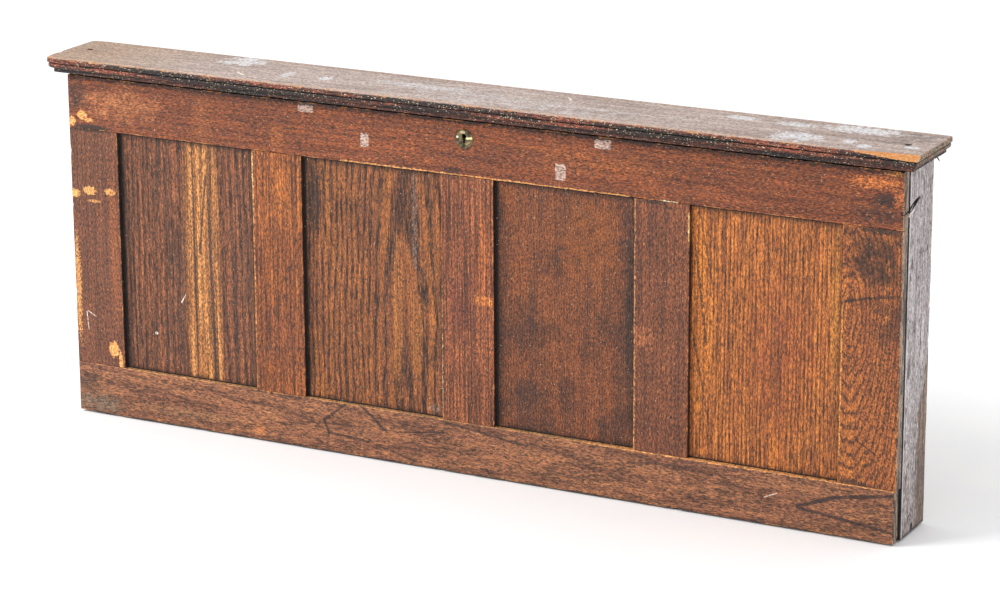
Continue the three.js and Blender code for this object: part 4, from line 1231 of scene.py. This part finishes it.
def pine(name, grain, face, seed, edges):
    """Bare softwood darkened by age: wide rings, soft streaks, dust, and dirt along its edges."""
    graph = Graph(name)
    rings, _, fine, streak = oak_figure(graph, grain, face, seed, centre=sum(edges) / 2 + 15,
                                        heart=(40, 0.06), ring=7.0, early=0.7, sway=30.0,
                                        wobble=0.16)
    shade = graph.mix(graph.rise(streak, 0.35, 0.65), finish().pine, "735139")
    shade = graph.mix(rings * 0.4, shade, "4f3523")
    shade = graph.mix(graph.rise(fine, 0.5, 0.66, 0.35), shade, "4a3020")
    across, through, along = grain_axes(graph, grain, face)
    dust = graph.noise(across * 0.03 + seed, through * 0.03, along * 0.012, 5, 0.68)
    shade = graph.mix(graph.rise(dust, 0.44, 0.68, 0.35), shade, "5d5048")
    shade = graph.mix(graph.rise(1 - dust, 0.5, 0.7, 0.35), shade, "3e2b1f")
    side = graph.math("MINIMUM", across - edges[0], edges[1] - across) + (streak - 0.5) * 4
    shade = graph.mix(1 - graph.rise(side, 0.3, 2.6, 0.8), shade, "1c130e")
    height = 0.5 - rings * 0.4 + (fine - 0.5) * 0.5 + (streak - 0.5)
    return graph.finish(shade, 0.7 + graph.rise(dust, 0.4, 0.7, 0.15), height, 0.0003)


def finish_inside():
    """Materials of the boards that stay as the frame holds them: bottom, back and rack."""
    grains = {"case_bottom": ("x", "z"), "case_back_lower": ("x", "y"),
              "case_back_upper": ("x", "y"), "rack_shelf": ("x", "z")}
    for number, (node, piece) in enumerate(sorted(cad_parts.items())):
        if node.startswith("rack_") or node in grains:
            grain, face = grains.get(node, ("z", "x"))
            low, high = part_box(node)
            axis = 3 - "xyz".index(grain) - "xyz".index(face)
            edges = (low[axis] / MM, high[axis] / MM)
            dress(piece, pine(node + " pine", grain, face, number * 1.7, edges))


# ------------------------------------------------------------------ metalwork

def metal(name, base, dull, stain, rough=0.38, marks=()):
    """Old metal: polished base, dull skin in clouds, dark stains, fine scratches and marks."""
    graph = Graph(name)
    x, y, z = graph.x, graph.y, graph.z
    cloud = graph.noise(x * 0.25, y * 0.25, z * 0.25, 4, 0.65)
    pits = graph.noise(x * 1.3, y * 1.3, z * 1.3, 3, 0.6)
    scratch = graph.noise(x * 0.4, y * 3.0, z * 3.5, 2, 0.5)
    shade = graph.mix(graph.rise(cloud, 0.4, 0.62), base, dull)
    shade = graph.mix(graph.rise(pits, 0.55, 0.7, 0.8), shade, stain)
    shade = graph.painted(shade, marks)
    roughness = rough + graph.rise(cloud, 0.4, 0.65, 0.25) + graph.rise(pits, 0.5, 0.7, 0.2)
    height = (cloud - 0.5) * 0.6 - graph.rise(pits, 0.52, 0.72) * 0.5 + (scratch - 0.5) * 0.2
    graph.feed(graph.shader.inputs["Metallic"], 1 - graph.rise(pits, 0.55, 0.7, 0.5))
    return graph.finish(shade, roughness, height, 0.00012)


def make_plate(material):
    """Keyhole plate: a ring between the keyhole and a circle, slightly domed, its rim rolled.

    Between the two outlines a point is the keyhole's times 1 - t plus the circle's times t, where
    t runs from 0 at the hole to 1 at the rim. Each row is a t and a depth from 0 at the front.
    """
    hole = keyhole(margin=-0.15 * MM)
    angle = np.arctan2(hole[:, 1], hole[:, 0])
    radius = (PLATE_HIGH.x - PLATE_LOW.x) / 2
    rim = radius * np.stack([np.cos(angle), np.sin(angle)], axis=1)
    rows = np.array([
        (0.0, 1.0), (0.0, 0.5), (0.01, 0.12), (0.03, 0.03), (0.15, 0.0), (0.4, -0.02),
        (0.62, 0.0), (0.72, 0.07), (0.76, 0.13), (0.82, 0.10), (0.9, 0.06), (0.96, 0.14),
        (0.99, 0.34), (1.0, 0.6), (1.0, 1.0), (0.5, 1.0)])
    flat = hole * (1 - rows[:, :1, None]) + rim * rows[:, :1, None]
    deep = PLATE_LOW.y + (PLATE_HIGH.y - PLATE_LOW.y) * rows[:, 1]
    rings = np.zeros(flat.shape[:2] + (3,))
    rings[..., 0] = flat[..., 0] + (PLATE_LOW.x + PLATE_HIGH.x) / 2
    rings[..., 1] = deep[:, None]
    rings[..., 2] = flat[..., 1] + (PLATE_LOW.z + PLATE_HIGH.z) / 2
    plate = skin("keyhole_plate", rings, closed=True)
    place(plate, "drop_front", "aged_brass", material, "lock_escutcheon")


def slotted_screw(name, node, axis, sign, turn, material, body, slot):
    """Countersunk screw: rings along its axis, then across its head, sunk where the slot runs.

    axis is the number of its axis and sign the way its head faces. Each row is a share of the
    head's radius and of the screw's length below the head's face. The slot's depth falls off with
    the distance from a line across the head at the given turn.
    """
    low, high = (np.array(corner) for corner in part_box(node))
    others = [a for a in range(3) if a != axis]
    radius = (high[others[0]] - low[others[0]]) / 2
    total = high[axis] - low[axis]
    shank = [(0.10, 1.0), (0.35, 0.9), (0.42, 0.5), (0.45, 0.25)]
    cone = [(0.62, 0.18), (0.98, 0.02), (1.0, 0.0)]
    head = [(share, 0.0) for share in (0.93, 0.8, 0.6, 0.4, 0.28, 0.18, 0.1)]
    rows = np.array(shank + cone + head)
    angle = np.arange(36) * 2 * math.pi / 36
    spread = rows[:, :1] * radius
    aside = np.abs(spread * np.sin(angle - turn))
    slit = 1 - np.clip((aside - radius * 0.10) / (radius * 0.10), 0, 1)
    sunk = np.where((rows[:, 1:] == 0) & (rows[:, :1] < 0.99), slit * radius * 0.35, 0)
    rings = np.zeros((len(rows), len(angle), 3))
    for other, wave in zip(others, (np.cos, np.sin)):
        rings[..., other] = (low[other] + high[other]) / 2 + spread * wave(angle)
    top = high[axis] if sign > 0 else low[axis]
    rings[..., axis] = top - sign * (rows[:, 1:] * total + sunk)
    place(skin(name, rings), body, slot, material, node)


def make_screws(brass, iron):
    """Hinge screws and the two screws through the top board, each turned differently."""
    draw = np.random.default_rng(5)
    for node in sorted(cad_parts):
        turn = draw.uniform(0, math.pi)
        name = node.replace("hinge_", "slotted_")
        if "door_screw" in node:
            slotted_screw(name, node, 1, 1, turn, brass, "drop_front", "aged_brass")
        elif "case_screw" in node:
            slotted_screw(name, node, 1, -1, turn, brass, "case", "aged_brass")
        elif "top_screw" in node:
            slotted_screw(node + "_slotted", node, 2, 1, turn, iron, "case", "dark_steel")


def make_nail(material):
    """Bent nail under the top board's rear right corner: circles along an arc that leans out."""
    radius, reach, points = 0.75 * MM, 11 * MM, 12
    run = np.linspace(0, 1, 14)
    x = SIDE_HIGH.x + 1.6 * MM + 4.5 * MM * run ** 1.8
    z = CASE_LOW.z + 0.5 * MM - reach * run
    y = np.full_like(run, CASE_HIGH.y - 1.6 * MM)
    angle = np.arange(points) * 2 * math.pi / points
    thick = radius * np.where(run < 0.85, 1, 1 - (run - 0.85) * 3)[:, None]
    rings = np.stack([x[:, None] + thick * np.cos(angle), y[:, None] + thick * np.sin(angle),
                      np.repeat(z[:, None], points, axis=1)], axis=-1)
    place(skin("stray_nail", rings), "case", "dark_steel", material)


def make_splinter(material):
    """Pale splinter standing beside the prised slot: a thin wedge tapering along its run."""
    run = np.linspace(0, 1, 12)[:, None]
    ring = np.array([[-1, 0], [0, 1], [1, 0], [0, -1]], float)
    size = np.array([1.1 * MM, 0.9 * MM]) * (1 - 0.9 * run[:, :, None])
    flat = ring * size
    rings = np.zeros(flat.shape[:2] + (3,))
    rings[..., 0] = SIDE_HIGH.x - 0.2 * MM + flat[..., 0] + 1.0 * MM * (1 - run)
    rings[..., 1] = SIDE_LOW.y + 1 * MM + 11 * MM * run
    rings[..., 2] = (GOUGE_MM + 1.8) * MM + flat[..., 1] + 4.5 * MM * run
    place(skin("splinter", rings), "case", "case_side_oak", material)


def bare_wood():
    """Freshly torn wood: pale, with fine fibres."""
    graph = Graph("torn oak")
    fibre = graph.noise(graph.x * 1.5, graph.y * 0.3, graph.z * 2.0, 3, 0.6)
    shade = graph.mix(graph.rise(fibre, 0.4, 0.65), "b9aca0", "7e6a5a")
    return graph.finish(shade, 0.8 + (fibre - 0.5) * 0.2, fibre, 0.0002)


def make_hardware():
    """Metal of the lock, the hinges and the screws."""
    brass = metal("tarnished brass", finish().brass, "3d3324", "17130e")
    iron = metal("dark iron", "3a3532", "241f1d", "3a2418", rough=0.5)
    steel = metal("dull steel", finish().steel, "2f2c2a", "2a1c14", rough=0.42)
    for node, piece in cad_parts.items():
        if node.startswith("hinge_") or node in ("lock_cap", "lock_strike"):
            dress(piece, brass)
        elif node.startswith("lock_"):
            dress(piece, steel)
    # Painted highlights: a bright glint right of the keyhole and a bright spot left of it.
    highlight = "fff0b0"
    make_plate(metal("keyhole plate brass", "7a6e55", "4a4334", "1c1812", marks=[
        ("stroke", highlight, 1.0, (7, 381.5), (12.5, 382.5), 1.5, 1.0, 0.5),
        ("blot", "f4ecd0", 1.0, (-4.5, 382.5), (1.4, 1.4), 2.0, 0.3, 0.4),
        ("blot", "cdb990", 0.8, (2, 388), (4, 1.6), 3.0, 0.9, 0.5),
        ("stroke", "a8916c", 0.8, (6, 375), (11, 378), 1.2, 4.0, 0.6)]))
    make_screws(brass, iron)
    make_nail(iron)
    make_splinter(bare_wood())


# ------------------------------------------------------------------ stage

def make_floor():
    """Pale floor just under the cabinet and under its open front, with the faintest mottling."""
    mesh = bpy.data.meshes.new("floor")
    reach, level = 30.0, -2.3 * MM
    mesh.from_pydata([(-reach, -reach, level), (reach, -reach, level), (reach, reach, level),
                      (-reach, reach, level)], [], [(0, 1, 2, 3)])
    floor = bpy.data.objects.new("floor", mesh)
    bpy.context.scene.collection.objects.link(floor)
    graph = Graph("pale floor")
    mottle = graph.noise(graph.x * 0.004, graph.y * 0.004, 0.0, 3, 0.6)
    shade = graph.mix(graph.rise(mottle, 0.3, 0.7), "f6f6f7", "f9f9f9")
    mesh.materials.append(graph.finish(shade, 0.95 - (mottle - 0.5) * 0.05))


def make_light(name, place_at, aim, size, power):
    """A rectangular soft light of a power in watts, aimed at a point."""
    data = bpy.data.lights.new(name, "AREA")
    data.shape = "RECTANGLE"
    data.size, data.size_y = size
    data.energy = power
    lamp = bpy.data.objects.new(name, data)
    lamp.location = place_at
    lamp.rotation_euler = (Vector(aim) - Vector(place_at)).to_track_quat("-Z", "Y").to_euler()
    bpy.context.scene.collection.objects.link(lamp)


def make_camera():
    """Camera on the sphere about its aim, turned by its azimuth, elevation and roll."""
    studio = bpy.context.scene.cabinet_studio
    low, high = CAD_BOUNDS
    a, e, r = studio.azimuth, studio.elevation, studio.roll
    back = Vector((math.sin(a) * math.cos(e), -math.cos(a) * math.cos(e), math.sin(e)))
    right = Vector((math.cos(a), math.sin(a), 0))
    up = back.cross(right)
    turned_right = math.cos(r) * right + math.sin(r) * up
    turned_up = math.cos(r) * up - math.sin(r) * right
    aim = (low + high) / 2 + Vector(studio.aim)
    data = bpy.data.cameras.new("camera")
    data.sensor_width = 36
    data.lens = studio.lens
    data.clip_end = 200
    camera = bpy.data.objects.new("camera", data)
    camera.matrix_world = Matrix.Translation(aim + back * studio.distance) @ Matrix(
        (turned_right, turned_up, back)).transposed().to_4x4()
    bpy.context.scene.collection.objects.link(camera)
    bpy.context.scene.camera = camera


def make_sky():
    """Even white surroundings."""
    world = bpy.data.worlds.new("white room")
    world.use_nodes = True
    sky = world.node_tree.nodes["Background"]
    sky.inputs["Color"].default_value = (1, 1, 1, 1)
    sky.inputs["Strength"].default_value = bpy.context.scene.cabinet_studio.sky
    bpy.context.scene.world = world


# ------------------------------------------------------------------ operators

class MakesPieces:
    """Runs the class's makers in order."""

    bl_options = {"REGISTER", "UNDO"}
    makers = ()

    def execute(self, context):
        for maker in self.makers:
            maker()
        return {"FINISHED"}


class CABINET_OT_rails(MakesPieces, bpy.types.Operator):
    """Make the drop front's top and bottom rails"""

    bl_idname = "cabinet.rails"
    bl_label = "Rails"
    makers = (make_top_rail, make_bottom_rail)


class CABINET_OT_uprights(MakesPieces, bpy.types.Operator):
    """Make the drop front's stiles and muntins"""

    bl_idname = "cabinet.uprights"
    bl_label = "Stiles and muntins"
    makers = (make_uprights,)


class CABINET_OT_panels(MakesPieces, bpy.types.Operator):
    """Make the drop front's sunk panels"""

    bl_idname = "cabinet.panels"
    bl_label = "Panels"
    makers = (make_panels,)


class CABINET_OT_top_board(MakesPieces, bpy.types.Operator):
    """Make the moulded top board"""

    bl_idname = "cabinet.top_board"
    bl_label = "Top board"
    makers = (make_top_board,)


class CABINET_OT_sides(MakesPieces, bpy.types.Operator):
    """Make the case's side boards"""

    bl_idname = "cabinet.sides"
    bl_label = "Sides"
    makers = (make_sides,)


class CABINET_OT_inside(MakesPieces, bpy.types.Operator):
    """Finish the bottom, the back and the card rack"""

    bl_idname = "cabinet.inside"
    bl_label = "Inside"
    makers = (finish_inside,)


class CABINET_OT_hardware(MakesPieces, bpy.types.Operator):
    """Make and finish the lock, hinges, screws and nail"""

    bl_idname = "cabinet.hardware"
    bl_label = "Hardware"
    makers = (make_hardware,)


class CABINET_OT_stage(MakesPieces, bpy.types.Operator):
    """Make the floor, the sky, the light and the camera"""

    bl_idname = "cabinet.stage"
    bl_label = "Stage"

    def execute(self, context):
        context.scene.view_settings.view_transform = "Standard"
        make_floor()
        make_sky()
        make_light("key", (-2.3, -2.2, 2.5), (0, 0, 0.2), (1.5, 1.5),
                   context.scene.cabinet_studio.key)
        make_camera()
        return {"FINISHED"}


OPERATORS = (CABINET_OT_rails, CABINET_OT_uprights, CABINET_OT_panels, CABINET_OT_top_board,
             CABINET_OT_sides, CABINET_OT_inside, CABINET_OT_hardware, CABINET_OT_stage)


class CABINET_PT_panel(bpy.types.Panel):
    """Lists the settings and the operators"""

    bl_idname = "CABINET_PT_panel"
    bl_label = "Time-card cabinet"
    bl_space_type = "VIEW_3D"
    bl_region_type = "UI"
    bl_category = "Cabinet"

    def draw(self, context):
        for group in (context.scene.cabinet_shape, context.scene.cabinet_finish,
                      context.scene.cabinet_studio):
            column = self.layout.column(align=True)
            for key in group.__annotations__:
                column.prop(group, key)
        for operator in OPERATORS:
            self.layout.operator(operator.bl_idname)


CLASSES = (CabinetShape, CabinetFinish, CabinetStudio, *OPERATORS, CABINET_PT_panel)


def register():
    for cls in CLASSES:
        bpy.utils.register_class(cls)
    bpy.types.Scene.cabinet_shape = bpy.props.PointerProperty(type=CabinetShape)
    bpy.types.Scene.cabinet_finish = bpy.props.PointerProperty(type=CabinetFinish)
    bpy.types.Scene.cabinet_studio = bpy.props.PointerProperty(type=CabinetStudio)


def unregister():
    del bpy.types.Scene.cabinet_studio
    del bpy.types.Scene.cabinet_finish
    del bpy.types.Scene.cabinet_shape
    for cls in reversed(CLASSES):
        bpy.utils.unregister_class(cls)


def main():
    """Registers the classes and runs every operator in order."""
    register()
    for operator in OPERATORS:
        group, name = operator.bl_idname.split(".")
        getattr(getattr(bpy.ops, group), name)()
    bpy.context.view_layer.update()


if __name__ == "__main__":
    main()
